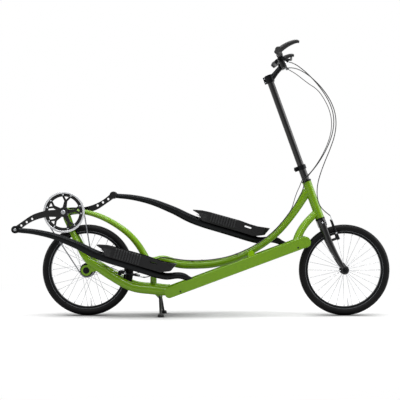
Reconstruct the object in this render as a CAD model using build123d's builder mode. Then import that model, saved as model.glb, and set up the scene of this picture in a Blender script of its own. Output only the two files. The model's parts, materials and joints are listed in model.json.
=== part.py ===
"""Elliptical bicycle: a stand-up, two-wheeled machine whose rider walks on two gliding platforms.

Millimetres. +X is forward, +Y is the rider's left and +Z is up. The origin is on the ground, midway
between the machine's rearmost and foremost points, on the plane of symmetry. The right crank arm is
stored pointing back along the track direction and the left one pointing forward.
"""

import os
from math import acos, asin, atan2, cos, degrees, pi, radians, sin, sqrt, tan

from build123d import *

os.makedirs("parts", exist_ok=True)

# ------------------------------------------------------------------ driving dimensions
# Wheels
WHEEL_RADIUS = 243.0
TYRE_WIDTH = 40.0
RIM_OUTER_RADIUS = 211.0
RIM_INNER_RADIUS = 195.0
RIM_WIDTH = 26.0
RIM_WALL = 2.2
WHEELBASE = 1372.0
RIM_WELL = 16.0
RIM_FLOOR = 4.0
BEAD_DEPTH = 10.0
SPOKE_DIAMETER = 2.0
SPOKE_CROSSING = 48.0
SPOKE_SPLAY = 6.0
SPOKE_SEAT_OFFSET = 1.4
FLANGE_THICKNESS = 3.0
FRONT_SPOKES = 28
REAR_SPOKES = 32

# Hubs and axles
FRONT_DROPOUT_HALF = 50.0
REAR_DROPOUT_HALF = 67.5
DROPOUT_THICKNESS = 6.0
AXLE_DIAMETER = 10.0
NUT_THICKNESS = 5.0
NUT_RADIUS = 8.5
WASHER_THICKNESS = 2.0
FRONT_WASHER_RADIUS = 14.0
REAR_WASHER_RADIUS = 17.0
FRONT_AXLE_STUB = 12.0
REAR_AXLE_STUB = 5.0
FRONT_FLANGE_RADIUS = 24.0
REAR_FLANGE_RADIUS = 38.0
FRONT_FLANGE_Y = 32.0
REAR_FLANGE_Y = 27.0

# Linkage: crank, drive arm, roller and inclined track
BB_SETBACK = 121.0
BB_HEIGHT = 552.0
CRANK_LENGTH = 265.0
ARM_LENGTH = 1000.0
TRACK_ANGLE = 20.4
ROLLER_DROP = 597.5
EYE_RADIUS = 20.0
ROLLER_RADIUS = 20.0
ROLLER_WIDTH = 9.5
ROLLER_GAP = 0.3
ARM_Y = 100.0
ARM_WIDTH = 22.0
BLADE_THICKNESS = 12.0
CRANK_PIN_DIAMETER = 14.0
ROLLER_PIN_DIAMETER = 8.0

# Crankset and chain
SPINDLE_DIAMETER = 24.0
SHELL_DIAMETER = 44.0
SHELL_HALF_WIDTH = 34.0
CRANK_INNER_Y = 62.0
CRANK_THICKNESS = 16.0
CHAIN_Y = 50.0
CHAIN_WIDTH = 8.0
CHAIN_HEIGHT = 8.0
CHAIN_PITCH = 12.7
RING_BORE_RADIUS = 83.0
GUARD_OUTER_RADIUS = 110.0
GUARD_INNER_RADIUS = 99.0
GUARD_THICKNESS = 3.0
SPIDER_ARMS = 5
SPIDER_FORK_RADIUS = 58.0
RING_TEETH = 52
SPROCKET_TEETH = 18
TOOTH_THICKNESS = 2.6
TOOTH_HEIGHT = 2.1
TOOTH_GAP_RADIUS = 3.9
TOOTH_GAP = 0.4

# Frame
TRACK_HEIGHT = 56.0
TRACK_WIDTH = 46.0
TRACK_WALL = 4.0
TRACK_END_RADIUS = 24.0
TRACK_REAR_MARGIN = 73.0
TRACK_FRONT_MARGIN = 56.0
BRACE_DIAMETER = 38.0
CROSS_TUBE_DIAMETER = 40.0
BRIDGE_DIAMETER = 30.0
POST_DIAMETER = 34.0
HEAD_TUBE_DIAMETER = 48.0
HEAD_TUBE_BORE = 41.0
DROPOUT_RADIUS = 28.0
DROPOUT_ARM_WIDTH = 12.0
# each: ahead of the axle, above it and half the width at the stay
DROPOUT_ARMS = ((62, 10, 12), (26, 46, 9))
HEAD_CUP_DEPTH = 7.7
HEAD_CUP_TOP_DEPTH = 9.0
HEAD_CUP_DIAMETER = 52.0
STAY_BRIDGE_AT = (-262.0, 0.0, 141.0)
STAY_BRIDGE_HALF = 96.0
POST_TOP = 300.0
CROSS_TUBE_X = 262.0

# Steering
HEAD_LEAN = 19.9
FORK_OFFSET = 28.5
HEAD_BOTTOM = 305.0
HEAD_LENGTH = 207.0
STEERER_DIAMETER = 40.0
COLUMN_DIAMETER = 36.0
STEERER_TOP = 605.0
COLLAR_DIAMETER = 50.0
COLUMN_TOP = 1112.0
COLUMN_INSERT = 190.0
BAR_DIAMETER = 22.2
BAR_CLAMP_DIAMETER = 31.8
BAR_HALF_WIDTH = 285.0
GRIP_RADIUS = 16.0
GRIP_INSET = 15.0
GRIP_START_Y = 150.0
GRIP_START = (-20.0, 40.0)
GRIP_END = (-32.0, 46.0)
SHIFTER_Y = -108.0
STEM_REACH = 88.0
STEM_RISE = 40.0
CROWN_BOTTOM = 258.0
PIVOT_RADIUS = 172.0
ARM_TOP_RADIUS = 274.0
PAD_FACE = 15.5
PAD_BACK = 24.0
PAD_RADIUS = 199.0
BRAKE_STUD_Y = 38.0
NOODLE_Y = 50.0
NOODLE_REACH = 24.0
FRONT_BRAKE_LIFT = 25.0
REAR_BRAKE_LIFT = 26.0
REAR_BRAKE_ANGLE = -12.0
PLATFORM_START = 437.0
PLATFORM_END = 867.0
PLATFORM_WIDTH = 115.0
PLATFORM_OFFSET = 3.0
PLATFORM_WALL = 4.0
DECK_LEVEL = 24.0

# Stand
STAND_PIVOT_HEIGHT = 101.0
STAND_PIVOT_AHEAD = 388.0
STAND_FOOT_Y = 120.0
STAND_FOOT_AHEAD = 10.0
STAND_LEG_DIAMETER = 14.0

# Cables: routes of the bar cables, then the points along the main tube's top, as (x, z)
BRAKE_CABLE_RADIUS = 2.5
GEAR_CABLE_RADIUS = 2.0
CABLE_SPLIT = (547, 724)
FRONT_RUN = [
    (472, 98, 1338), (494, 58, 1331), (520, 20, 1318), (562, -6, 1290), (606, -22, 1250), (648, -28, 1202),
    (684, -30, 1147), (708, -30, 1087), (715, -30, 1023), (706, -30, 958), (684, -30, 894), (658, -30, 832),
    (634, -31, 770), (616, -34, 711), (610, -38, 655), (617, -43, 603), (641, -47, 562),
]
REAR_RUN = [
    (474, -104, 1339), (502, -78, 1329), (540, -60, 1304), (583, -52, 1265), (626, -48, 1216),
    (664, -46, 1161), (691, -46, 1102), (702, -46, 1040), (695, -45, 976), (674, -44, 914), (645, -44, 856),
    (612, -44, 804), (576, -42, 760),
]
RIDGE_Y = 18.0
RIDGE = [
    (480, 569), (451, 529), (421, 491), (388, 456), (352, 424), (313, 395), (272, 370), (229, 348),
    (184, 329), (139, 314), (92, 304), (44, 297), (-4, 294), (-53, 293), (-100, 295), (-148, 302),
    (-195, 312),
]
FRONT_NOODLE_GAP = 1.6
REAR_NOODLE_GAP = 1.0

# Clearances
RUNNING = 0.05
SKIN = 0.3

SIDES = (("right", -1), ("left", 1))

# ------------------------------------------------------------------ places worked out from them
CRANK_REACH = CRANK_LENGTH * cos(radians(TRACK_ANGLE))
REAR_END = -BB_SETBACK - CRANK_REACH - EYE_RADIUS
REAR_X = -(REAR_END + WHEELBASE + WHEEL_RADIUS) / 2
FRONT_X = REAR_X + WHEELBASE
BB_X = REAR_X - BB_SETBACK
REAR_AXLE = Vector(REAR_X, 0, WHEEL_RADIUS)
FRONT_AXLE = Vector(FRONT_X, 0, WHEEL_RADIUS)
BB = Vector(BB_X, 0, BB_HEIGHT)

ALONG = Vector(cos(radians(TRACK_ANGLE)), 0, sin(radians(TRACK_ANGLE)))
ABOVE = Vector(-sin(radians(TRACK_ANGLE)), 0, cos(radians(TRACK_ANGLE)))
STEER_UP = Vector(-sin(radians(HEAD_LEAN)), 0, cos(radians(HEAD_LEAN)))
STEER_AHEAD = Vector(cos(radians(HEAD_LEAN)), 0, sin(radians(HEAD_LEAN)))
STEER_FOOT = FRONT_AXLE - STEER_AHEAD * FORK_OFFSET
ARM_SLOPE = TRACK_ANGLE - degrees(asin(ROLLER_DROP / ARM_LENGTH))
PIN = {-1: BB - ALONG * CRANK_LENGTH, 1: BB + ALONG * CRANK_LENGTH}
REAR_BRAKE_OUT = Vector(cos(radians(REAR_BRAKE_ANGLE)), 0, sin(radians(REAR_BRAKE_ANGLE)))
REAR_BRAKE_UP = Vector(-sin(radians(REAR_BRAKE_ANGLE)), 0, cos(radians(REAR_BRAKE_ANGLE)))


def roller_travel(turn):
    """Distance along the track of a roller whose crank stands at this angle to the track."""
    lever = ROLLER_DROP + CRANK_LENGTH * sin(radians(turn))
    return CRANK_LENGTH * cos(radians(turn)) + sqrt(ARM_LENGTH**2 - lever**2)


TRAVEL = [roller_travel(turn) for turn in range(360)]
TRACK_START = min(TRAVEL) - TRACK_REAR_MARGIN
TRACK_END = max(TRAVEL) + TRACK_FRONT_MARGIN
TRACK_BOTTOM = -ROLLER_RADIUS - ROLLER_GAP - TRACK_WALL
TRACK_TOP = TRACK_BOTTOM + TRACK_HEIGHT
RING_PITCH_RADIUS = CHAIN_PITCH / 2 / sin(pi / RING_TEETH)
SPROCKET_PITCH_RADIUS = CHAIN_PITCH / 2 / sin(pi / SPROCKET_TEETH)
CRANK_OUTER_Y = CRANK_INNER_Y + CRANK_THICKNESS
HEAD_TOP = HEAD_BOTTOM + HEAD_LENGTH


def on_track(s, b, y=0.0):
    """Point at s along the track and b above the rollers' line."""
    return BB + ALONG * s + ABOVE * (b - ROLLER_DROP) + Vector(0, y, 0)


def on_steer(t, ahead=0.0, y=0.0):
    """Point t up the steering axis from the axle's level, and ahead of it."""
    return STEER_FOOT + STEER_UP * t + STEER_AHEAD * ahead + Vector(0, y, 0)


def side_plane(origin, angle=0.0):
    """Upright plane along the machine, its x axis raised by angle, its normal to the right."""
    return Plane(origin=origin, x_dir=(cos(radians(angle)), 0, sin(radians(angle))), z_dir=(0, -1, 0))


def wheel_plane(axle):
    """Plane whose x is a wheel's radius and whose y is across the wheel."""
    return Plane(origin=axle, x_dir=(1, 0, 0), z_dir=(0, 0, 1))


def steer_plane(t):
    """Plane square to the steering axis, its x axis ahead and its y axis to the left."""
    return Plane(origin=on_steer(t), x_dir=STEER_AHEAD, z_dir=STEER_UP)


def biggest(piece):
    """Largest solid of a piece, without the slivers that its cuts leave."""
    return piece.part.solids().sort_by(SortBy.VOLUME)[-1]


def write(piece, name):
    """Label a finished piece and write its file."""
    piece.part.label = name
    export_step(piece.part, f"parts/{name}.step")


def loft_tube(stations):
    """Loft ellipses (x, y, z, height, width) square to the line through them."""
    centres = [Vector(*station[:3]) for station in stations]
    sections = []
    for index, (_, _, _, height, width) in enumerate(stations):
        along = centres[min(index + 1, len(centres) - 1)] - centres[max(index - 1, 0)]
        across = Vector(0, 1, 0) - along * (along.Y / along.length**2)
        with BuildSketch(Plane(origin=centres[index], x_dir=across, z_dir=along)) as section:
            Ellipse(width / 2, height / 2)
        sections.append(section.sketch)
    loft(sections)


def rod(start, end, radius, mode=Mode.ADD):
    """Straight round bar from start to end."""
    run = end - start
    with BuildSketch(Plane(origin=start, z_dir=run)) as section:
        Circle(radius)
    extrude(section.sketch, amount=run.length, mode=mode)


def pipe(points, radius, bends):
    """Round bar along straight runs joined by arcs."""
    with BuildLine() as path:
        FilletPolyline(*points, radius=bends)
    with BuildSketch(Plane(origin=path.line @ 0, z_dir=path.line % 0)) as section:
        Circle(radius)
    sweep(section.sketch, path=path.line)


def corner_radii(points):
    """Largest arcs that a cord's runs leave room for, one for each inner point."""
    radii = []
    for before, here, after in zip(points, points[1:], points[2:]):
        turn = radians((here - before).get_angle(after - here))
        radii.append(0.45 * min((here - before).length, (after - here).length) / tan(turn / 2))
    return radii


def cord(points, radius, name):
    """Cable along its route, with its arcs' radii and volume printed."""
    radii = corner_radii(points)
    with BuildPart() as cable:
        with BuildLine() as path:
            FilletPolyline(*points, radius=radii)
        with BuildSketch(Plane(origin=path.line @ 0, z_dir=path.line % 0)):
            Circle(radius)
        sweep(path=path.line)
    length = sum(edge.length for edge in path.edges())
    share = cable.part.volume / (pi * radius**2 * length)
    print(name, "radii", [round(r) for r in radii], "length", round(length), "volume share", round(share, 4))
    return cable


def link(start, start_radius, end, end_radius):
    """Outline of two round ends joined by their outer tangents, in the sketch's plane."""
    run = Vector(*end) - Vector(*start)
    lean = acos((start_radius - end_radius) / run.length)
    heading = atan2(run.Y, run.X)
    corners = []
    for turn, place, radius in (
        (lean, start, start_radius),
        (lean, end, end_radius),
        (-lean, end, end_radius),
        (-lean, start, start_radius),
    ):
        corners.append((place[0] + radius * cos(heading + turn), place[1] + radius * sin(heading + turn)))
    with Locations(start):
        Circle(start_radius)
    with Locations(end):
        Circle(end_radius)
    Polygon(*corners, align=None)


# ------------------------------------------------------------------ wheels
for end_name, axle, count, flange_radius, flange_y, crossing in (
    ("front", FRONT_AXLE, FRONT_SPOKES, FRONT_FLANGE_RADIUS, FRONT_FLANGE_Y, SPOKE_SPLAY),
    ("rear", REAR_AXLE, REAR_SPOKES, REAR_FLANGE_RADIUS, REAR_FLANGE_Y, SPOKE_CROSSING),
):
    plane = wheel_plane(axle)
    spin = Axis(axle, (0, 1, 0))
    casing = WHEEL_RADIUS - TYRE_WIDTH / 2
    bead = RIM_WIDTH / 2 - RIM_WALL - RUNNING
    rim_depth = RIM_OUTER_RADIUS - RIM_INNER_RADIUS
    with BuildPart() as tyre:
        with BuildSketch(plane):
            with Locations((casing, 0)):
                Circle(TYRE_WIDTH / 2)
            with Locations((RIM_OUTER_RADIUS - 3, 0)):
                Rectangle(BEAD_DEPTH, bead * 2)
            with Locations((casing, 0)):
                Circle(TYRE_WIDTH * 0.35, mode=Mode.SUBTRACT)
            with Locations((RIM_OUTER_RADIUS - 4, 0)):
                Rectangle(14, bead * 2 - 7, mode=Mode.SUBTRACT)
            for side in (-1, 1):
                with Locations((RIM_OUTER_RADIUS - BEAD_DEPTH + RUNNING, side * (bead + BEAD_DEPTH))):
                    Rectangle(BEAD_DEPTH * 2, BEAD_DEPTH * 2, mode=Mode.SUBTRACT)
        revolve(axis=spin)
    write(tyre, f"{end_name}_tyre")

    with BuildPart() as rim:
        with BuildSketch(plane):
            with Locations(((RIM_INNER_RADIUS + RIM_OUTER_RADIUS) / 2, 0)):
                Rectangle(rim_depth, RIM_WIDTH)
            with Locations((RIM_OUTER_RADIUS, 0)):
                Rectangle(RIM_WELL, RIM_WIDTH - RIM_WALL * 2, mode=Mode.SUBTRACT)
            with Locations((RIM_INNER_RADIUS + (rim_depth - RIM_WELL / 2) / 2, 0)):
                Rectangle(
                    rim_depth - RIM_WELL / 2 - RIM_WALL * 2, RIM_WIDTH - RIM_FLOOR * 2, mode=Mode.SUBTRACT
                )
        revolve(axis=spin)
    write(rim, f"{end_name}_rim")

    hub_half = (FRONT_DROPOUT_HALF if end_name == "front" else REAR_DROPOUT_HALF) - SKIN
    barrel = flange_radius * 0.62
    with BuildPart() as hub:
        with BuildSketch(plane):
            with Locations((AXLE_DIAMETER / 4 + barrel / 2, 0)):
                Rectangle(barrel - AXLE_DIAMETER / 2, flange_y * 2)
            with Locations((AXLE_DIAMETER / 4 + 5.5, 0)):
                Rectangle(11 - AXLE_DIAMETER / 2, hub_half * 2)
            for side in (-1, 1):
                with Locations((AXLE_DIAMETER / 4 + flange_radius / 2, side * flange_y)):
                    Rectangle(flange_radius - AXLE_DIAMETER / 2, FLANGE_THICKNESS)
            with Locations((0, 0)):
                Rectangle(AXLE_DIAMETER + RUNNING * 2, hub_half * 3, mode=Mode.SUBTRACT)
        revolve(axis=spin)
    write(hub, f"{end_name}_hub")

    with BuildPart() as spokes:
        for index in range(count):
            side = 1 if index % 2 else -1
            pull = crossing if (index // 2) % 2 else -crossing
            at_rim = radians(360 / count * index)
            at_hub = at_rim + radians(pull)
            seat = flange_radius - 2.5
            face = flange_y + (SPOKE_SEAT_OFFSET if pull > 0 else -SPOKE_SEAT_OFFSET)
            inner = axle + Vector(seat * cos(at_hub), side * face, seat * sin(at_hub))
            outer = axle + Vector(
                (RIM_INNER_RADIUS + 1) * cos(at_rim), side * 3.0, (RIM_INNER_RADIUS + 1) * sin(at_rim)
            )
            rod(inner, outer, SPOKE_DIAMETER / 2)
        with BuildSketch(plane):
            with Locations((RIM_INNER_RADIUS + 5, 0)):
                Rectangle(10, RIM_WIDTH)
            for side in (-1, 1):
                with Locations((flange_radius / 2, side * flange_y)):
                    Rectangle(flange_radius, FLANGE_THICKNESS)
        revolve(axis=spin, mode=Mode.SUBTRACT)
    write(spokes, f"{end_name}_spokes")

with BuildPart() as sprocket:
    with BuildSketch(side_plane(REAR_AXLE + Vector(0, TOOTH_THICKNESS / 2 - CHAIN_Y, 0))):
        Circle(SPROCKET_PITCH_RADIUS + TOOTH_HEIGHT)
        with PolarLocations(SPROCKET_PITCH_RADIUS, SPROCKET_TEETH):
            Circle(TOOTH_GAP_RADIUS, mode=Mode.SUBTRACT)
        Circle(11, mode=Mode.SUBTRACT)
    extrude(amount=TOOTH_THICKNESS)
write(sprocket, "rear_sprocket")

for name, axle, half, stub, washer_radius in (
    ("front_axle", FRONT_AXLE, FRONT_DROPOUT_HALF, FRONT_AXLE_STUB, FRONT_WASHER_RADIUS),
    ("rear_axle", REAR_AXLE, REAR_DROPOUT_HALF, REAR_AXLE_STUB, REAR_WASHER_RADIUS),
):
    washer_face = half + DROPOUT_THICKNESS
    nut_face = washer_face + WASHER_THICKNESS
    axle_end = Vector(0, nut_face + NUT_THICKNESS + stub, 0)
    with BuildPart() as axle_rod:
        rod(axle - axle_end, axle + axle_end, AXLE_DIAMETER / 2)
        for place in (nut_face, -washer_face):
            with BuildSketch(side_plane(axle + Vector(0, place, 0))):
                Circle(washer_radius)
            extrude(amount=WASHER_THICKNESS)
        for place in (nut_face + NUT_THICKNESS, -nut_face):
            with BuildSketch(side_plane(axle + Vector(0, place, 0))):
                RegularPolygon(NUT_RADIUS, 6)
            extrude(amount=NUT_THICKNESS)
    write(axle_rod, name)

# ------------------------------------------------------------------ tracks, main tube and stays
track_blocks = {}
track_length = TRACK_END - TRACK_START
for name, side in SIDES:
    with BuildPart() as track_block:
        with BuildSketch(side_plane(on_track(0, 0, side * ARM_Y + TRACK_WIDTH / 2), TRACK_ANGLE)):
            with Locations(((TRACK_START + TRACK_END) / 2, (TRACK_BOTTOM + TRACK_TOP) / 2)):
                RectangleRounded(track_length, TRACK_HEIGHT, TRACK_END_RADIUS)
        extrude(amount=TRACK_WIDTH)
    track_blocks[side] = track_block.part
    with BuildPart() as track:
        add(track_block.part)
        channel_face = side * ARM_Y + TRACK_WIDTH / 2 - TRACK_WALL
        with BuildSketch(side_plane(on_track(0, 0, channel_face), TRACK_ANGLE)):
            with Locations(((TRACK_START + TRACK_END) / 2, TRACK_BOTTOM + TRACK_WALL + TRACK_HEIGHT)):
                RectangleRounded(track_length - TRACK_WALL * 2, TRACK_HEIGHT * 2, TRACK_END_RADIUS)
        extrude(amount=TRACK_WIDTH - TRACK_WALL * 2, mode=Mode.SUBTRACT)
    write(track, f"{name}_track")

with BuildPart() as head_tube:
    with BuildSketch(steer_plane(HEAD_BOTTOM)):
        Circle(HEAD_TUBE_DIAMETER / 2)
        Circle(HEAD_TUBE_BORE / 2, mode=Mode.SUBTRACT)
    extrude(amount=HEAD_LENGTH)
write(head_tube, "head_tube")

with BuildPart() as headset_cups:
    for start, depth in ((HEAD_BOTTOM - HEAD_CUP_DEPTH, HEAD_CUP_DEPTH), (HEAD_TOP, HEAD_CUP_TOP_DEPTH)):
        with BuildSketch(steer_plane(start)):
            Circle(HEAD_CUP_DIAMETER / 2)
            Circle(STEERER_DIAMETER / 2 + RUNNING, mode=Mode.SUBTRACT)
        extrude(amount=depth)
write(headset_cups, "headset_cups")

with BuildPart() as head_space:
    with BuildSketch(steer_plane(HEAD_BOTTOM)):
        Circle(HEAD_TUBE_DIAMETER / 2)
    extrude(amount=HEAD_LENGTH)

with BuildPart() as main_tube:
    loft_tube([
        (-318, 0, 318, 40, 40),
        (-227, 0, 297, 47, 44),
        (-141, 0, 279, 47, 44),
        (-66, 0, 271.5, 47, 44),
        (-13, 0, 272.5, 47, 44),
        (41, 0, 275.5, 46, 44),
        (94, 0, 284, 44, 42),
        (148, 0, 296, 42, 40),
        (215, 0, 322, 39, 38),
        (290, 0, 360, 37, 38),
        (350, 0, 400, 36, 38),
        (400, 0, 443, 37, 38),
        (450, 0, 498, 38, 38),
        (495, 0, 558, 40, 38),
        (530, 0, 613, 45, 38),
        (563, 0, 664, 50, 38),
    ])
    add(head_space.part, mode=Mode.SUBTRACT)
write(main_tube, "main_tube")

with BuildPart() as shell:
    with BuildSketch(side_plane(BB + Vector(0, SHELL_HALF_WIDTH, 0))):
        Circle(SHELL_DIAMETER / 2)
        Circle(SPINDLE_DIAMETER / 2 + RUNNING, mode=Mode.SUBTRACT)
    extrude(amount=SHELL_HALF_WIDTH * 2)
write(shell, "bottom_bracket_shell")

with BuildPart() as shell_space:
    with BuildSketch(side_plane(BB + Vector(0, SHELL_HALF_WIDTH, 0))):
        Circle(SHELL_DIAMETER / 2)
    extrude(amount=SHELL_HALF_WIDTH * 2)

with BuildPart() as arch_tube:
    loft_tube([
        (BB_X + 8, 0, BB_HEIGHT + 2, 26, 34),
        (-660, 0, 555, 26, 34),
        (-605, 0, 547, 27, 35),
        (-548, 0, 529, 29, 36),
        (-495, 0, 504, 31, 38),
        (-441, 0, 471, 33, 40),
        (-388, 0, 428, 34, 42),
        (-350, 0, 385, 35, 42),
        (-322, 0, 343, 36, 42),
        (-300, 0, 305, 36, 42),
    ])
    add(shell_space.part, mode=Mode.SUBTRACT)
    add(main_tube.part, mode=Mode.SUBTRACT)
    arch_tube.part = biggest(arch_tube)
write(arch_tube, "rear_arch_tube")

groove = TOOTH_THICKNESS + TOOTH_GAP * 2
with BuildPart() as chain:
    for width, beyond_pitch, mode in (
        (CHAIN_WIDTH, CHAIN_HEIGHT / 2, Mode.ADD),
        (CHAIN_WIDTH, -CHAIN_HEIGHT / 2, Mode.SUBTRACT),
        (groove, TOOTH_HEIGHT + TOOTH_GAP, Mode.SUBTRACT),
    ):
        with BuildSketch(side_plane((0, width / 2 - CHAIN_Y, 0))):
            link(
                (BB.X, BB.Z), RING_PITCH_RADIUS + beyond_pitch,
                (REAR_AXLE.X, REAR_AXLE.Z), SPROCKET_PITCH_RADIUS + beyond_pitch,
            )
        extrude(amount=width, mode=mode)
write(chain, "chain")

# Each stay is one tube: inside the chainring at the top, through the chain's loop, then outside the hub
stay_parts = {}
for name, side in SIDES:
    with BuildPart() as stay:
        loft_tube([
            (BB_X + 6, side * 24, 538, 30, 16),
            (BB_X + 24, side * 32, 487, 31, 17),
            (-688, side * 36, 440, 31, 18),
            (-664, side * 47, 392, 32, 19),
            (-640, side * 60, 347, 33, 21),
            (-608, side * 71, 303, 36, 23),
            (-575, side * 71.5, 275, 40, 24),
            (-540, side * 71.5, 253, 43, 24),
            (-487, side * 72, 218, 45, 24),
            (-440, side * 74, 190, 46, 25),
            (-395, side * 79, 167, 47, 26),
            (-342, side * 86, 151, 48, 27),
            (-289, side * 93, 145, 49, 28),
            (-236, side * 98, 140, 49, 29),
            (-180, side * 100, 137, 48, 30),
        ])
        rod(BB - Vector(0, 50, 0), BB + Vector(0, 50, 0), SHELL_DIAMETER / 2, Mode.SUBTRACT)
        add(track_blocks[side], mode=Mode.SUBTRACT)
        stay.part = stay.part.solids().sort_by(Axis.X)[0]
    stay_parts[side] = stay.part
    write(stay, f"{name}_stay")

    inner = REAR_DROPOUT_HALF if side > 0 else -REAR_DROPOUT_HALF - DROPOUT_THICKNESS
    with BuildPart() as dropout:
        with BuildSketch(side_plane((0, inner + DROPOUT_THICKNESS, 0))):
            with Locations((REAR_AXLE.X, REAR_AXLE.Z)):
                Circle(DROPOUT_RADIUS)
            for ahead, above, tip_radius in DROPOUT_ARMS:
                root = (REAR_AXLE.X + ahead, REAR_AXLE.Z + above)
                link((REAR_AXLE.X, REAR_AXLE.Z), DROPOUT_ARM_WIDTH, root, tip_radius)
            with Locations((REAR_AXLE.X, REAR_AXLE.Z)):
                Circle(AXLE_DIAMETER / 2, mode=Mode.SUBTRACT)
        extrude(amount=DROPOUT_THICKNESS)
        add(stay.part, mode=Mode.SUBTRACT)
        dropout.part = biggest(dropout)
    write(dropout, f"{name}_dropout")

bridge_at = Vector(*STAY_BRIDGE_AT)
bridge_half = Vector(0, STAY_BRIDGE_HALF, 0)
with BuildPart() as stay_bridge:
    rod(bridge_at - bridge_half, bridge_at + bridge_half, BRIDGE_DIAMETER / 2)
    for side in (-1, 1):
        add(stay_parts[side], mode=Mode.SUBTRACT)
    stay_bridge.part = biggest(stay_bridge)
write(stay_bridge, "stay_bridge")

with BuildPart() as centre_post:
    rod(bridge_at, Vector(bridge_at.X, 0, POST_TOP), POST_DIAMETER / 2)
    add(stay_bridge.part, mode=Mode.SUBTRACT)
    add(main_tube.part, mode=Mode.SUBTRACT)
    centre_post.part = biggest(centre_post)
write(centre_post, "centre_post")

STAND_PIVOT = Vector(REAR_X + STAND_PIVOT_AHEAD, 0, STAND_PIVOT_HEIGHT)
with BuildPart() as stand_bracket:
    with BuildSketch(side_plane((0, 22, 0))):
        link((bridge_at.X, bridge_at.Z), 14, (STAND_PIVOT.X, STAND_PIVOT.Z), 12)
        with Locations((STAND_PIVOT.X, STAND_PIVOT.Z)):
            Circle(STAND_LEG_DIAMETER / 2 + RUNNING, mode=Mode.SUBTRACT)
    extrude(amount=44)
    add(stay_bridge.part, mode=Mode.SUBTRACT)
    add(centre_post.part, mode=Mode.SUBTRACT)
    stand_bracket.part = biggest(stand_bracket)
write(stand_bracket, "stand_bracket")

with BuildPart() as stand:
    foot = STAND_PIVOT + Vector(STAND_FOOT_AHEAD, 0, 6 - STAND_PIVOT_HEIGHT)
    pipe(
        [
            foot + Vector(0, -STAND_FOOT_Y, 0), STAND_PIVOT + Vector(0, -36, 0),
            STAND_PIVOT + Vector(0, 36, 0), foot + Vector(0, STAND_FOOT_Y, 0),
        ],
        STAND_LEG_DIAMETER / 2,
        16,
    )
    for side in (-1, 1):
        with BuildSketch(Plane(origin=(foot.X, side * STAND_FOOT_Y, 0), z_dir=(0, 0, 1))):
            Circle(15)
        extrude(amount=16)
    with BuildSketch(Plane(origin=(foot.X, 0, -40), z_dir=(0, 0, 1))):
        Rectangle(200, 400)
    extrude(amount=40, mode=Mode.SUBTRACT)
write(stand, "centre_stand")

with BuildPart() as cross_tube:
    for side in (-1, 1):
        inner = Vector(CROSS_TUBE_X, side * -8, 336)
        rod(inner, Vector(CROSS_TUBE_X, side * 90, 299), CROSS_TUBE_DIAMETER / 2)
    add(main_tube.part, mode=Mode.SUBTRACT)
    for side in (-1, 1):
        add(track_blocks[side], mode=Mode.SUBTRACT)
    cross_tube.part = Part(cross_tube.part.solids().sort_by(SortBy.VOLUME)[-2:])
write(cross_tube, "track_cross_tube")

for name, side in SIDES:
    with BuildPart() as brace:
        loft_tube([
            (604, side * 12, 545, BRACE_DIAMETER, BRACE_DIAMETER),
            (572, side * 20, 512, BRACE_DIAMETER, BRACE_DIAMETER),
            (541, side * 31, 474, BRACE_DIAMETER, BRACE_DIAMETER),
            (520, side * 42, 438, BRACE_DIAMETER, BRACE_DIAMETER),
            (506, side * 53, 402, BRACE_DIAMETER, BRACE_DIAMETER),
            (497, side * 62, 366, BRACE_DIAMETER, BRACE_DIAMETER),
        ])
        add(head_space.part, mode=Mode.SUBTRACT)
        add(main_tube.part, mode=Mode.SUBTRACT)
        add(track_blocks[side], mode=Mode.SUBTRACT)
        with BuildSketch(Plane(origin=(550, -side * 50, 300), z_dir=(0, 0, 1))):
            Rectangle(400, 100)
        extrude(amount=400, mode=Mode.SUBTRACT)
        brace.part = biggest(brace)
    write(brace, f"{name}_track_brace")

# ------------------------------------------------------------------ crankset
with BuildPart() as spindle:
    rod(BB + Vector(0, -CRANK_OUTER_Y - 3, 0), BB + Vector(0, CRANK_OUTER_Y + 3, 0), SPINDLE_DIAMETER / 2)
write(spindle, "crank_spindle")

for name, side in SIDES:
    top = [(0, 22), (12, 22), (61, 34), (114, 43), (171, 41), (202, 33.5), (234, 25), (262, 18)]
    bottom = [(260, -14), (233, -3), (183, 9.4), (126, 10.7), (84, 3.5), (24, -18), (0, -22)]
    start_y = CRANK_INNER_Y if side > 0 else -CRANK_OUTER_Y
    crank_plane = Plane(origin=BB + Vector(0, start_y, 0), x_dir=ALONG * side, z_dir=(0, 1, 0))
    with BuildPart() as crank:
        with BuildSketch(crank_plane):
            with BuildLine():
                upper = Spline(*top)
                lower = Spline(*bottom)
                Line(upper @ 1, lower @ 0)
                Line(lower @ 1, upper @ 0)
            make_face()
            Circle(25)
            with Locations((CRANK_LENGTH, 0)):
                Circle(EYE_RADIUS - 1)
            Circle(SPINDLE_DIAMETER / 2, mode=Mode.SUBTRACT)
            with Locations((167, 23.8), (200, 17.9), (233, 10.9)):
                Circle(6, mode=Mode.SUBTRACT)
        extrude(amount=CRANK_THICKNESS)
        pin = PIN[side]
        for start, end, radius in (
            (CRANK_INNER_Y + 2, ARM_Y + 17.3, CRANK_PIN_DIAMETER / 2),
            (CRANK_OUTER_Y, ARM_Y - 14 - SKIN, 12),
            (ARM_Y + 14 + SKIN, ARM_Y + 18, 12),
        ):
            rod(pin + Vector(0, side * start, 0), pin + Vector(0, side * end, 0), radius)
    write(crank, f"{name}_crank_arm")

ring_face = -CHAIN_Y + TOOTH_THICKNESS / 2
with BuildPart() as chainring:
    with BuildSketch(side_plane(BB + Vector(0, ring_face, 0))):
        Circle(RING_PITCH_RADIUS + TOOTH_HEIGHT)
        Circle(RING_BORE_RADIUS, mode=Mode.SUBTRACT)
        with PolarLocations(RING_PITCH_RADIUS, RING_TEETH):
            Circle(TOOTH_GAP_RADIUS, mode=Mode.SUBTRACT)
    extrude(amount=TOOTH_THICKNESS)
write(chainring, "chainring")

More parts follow.
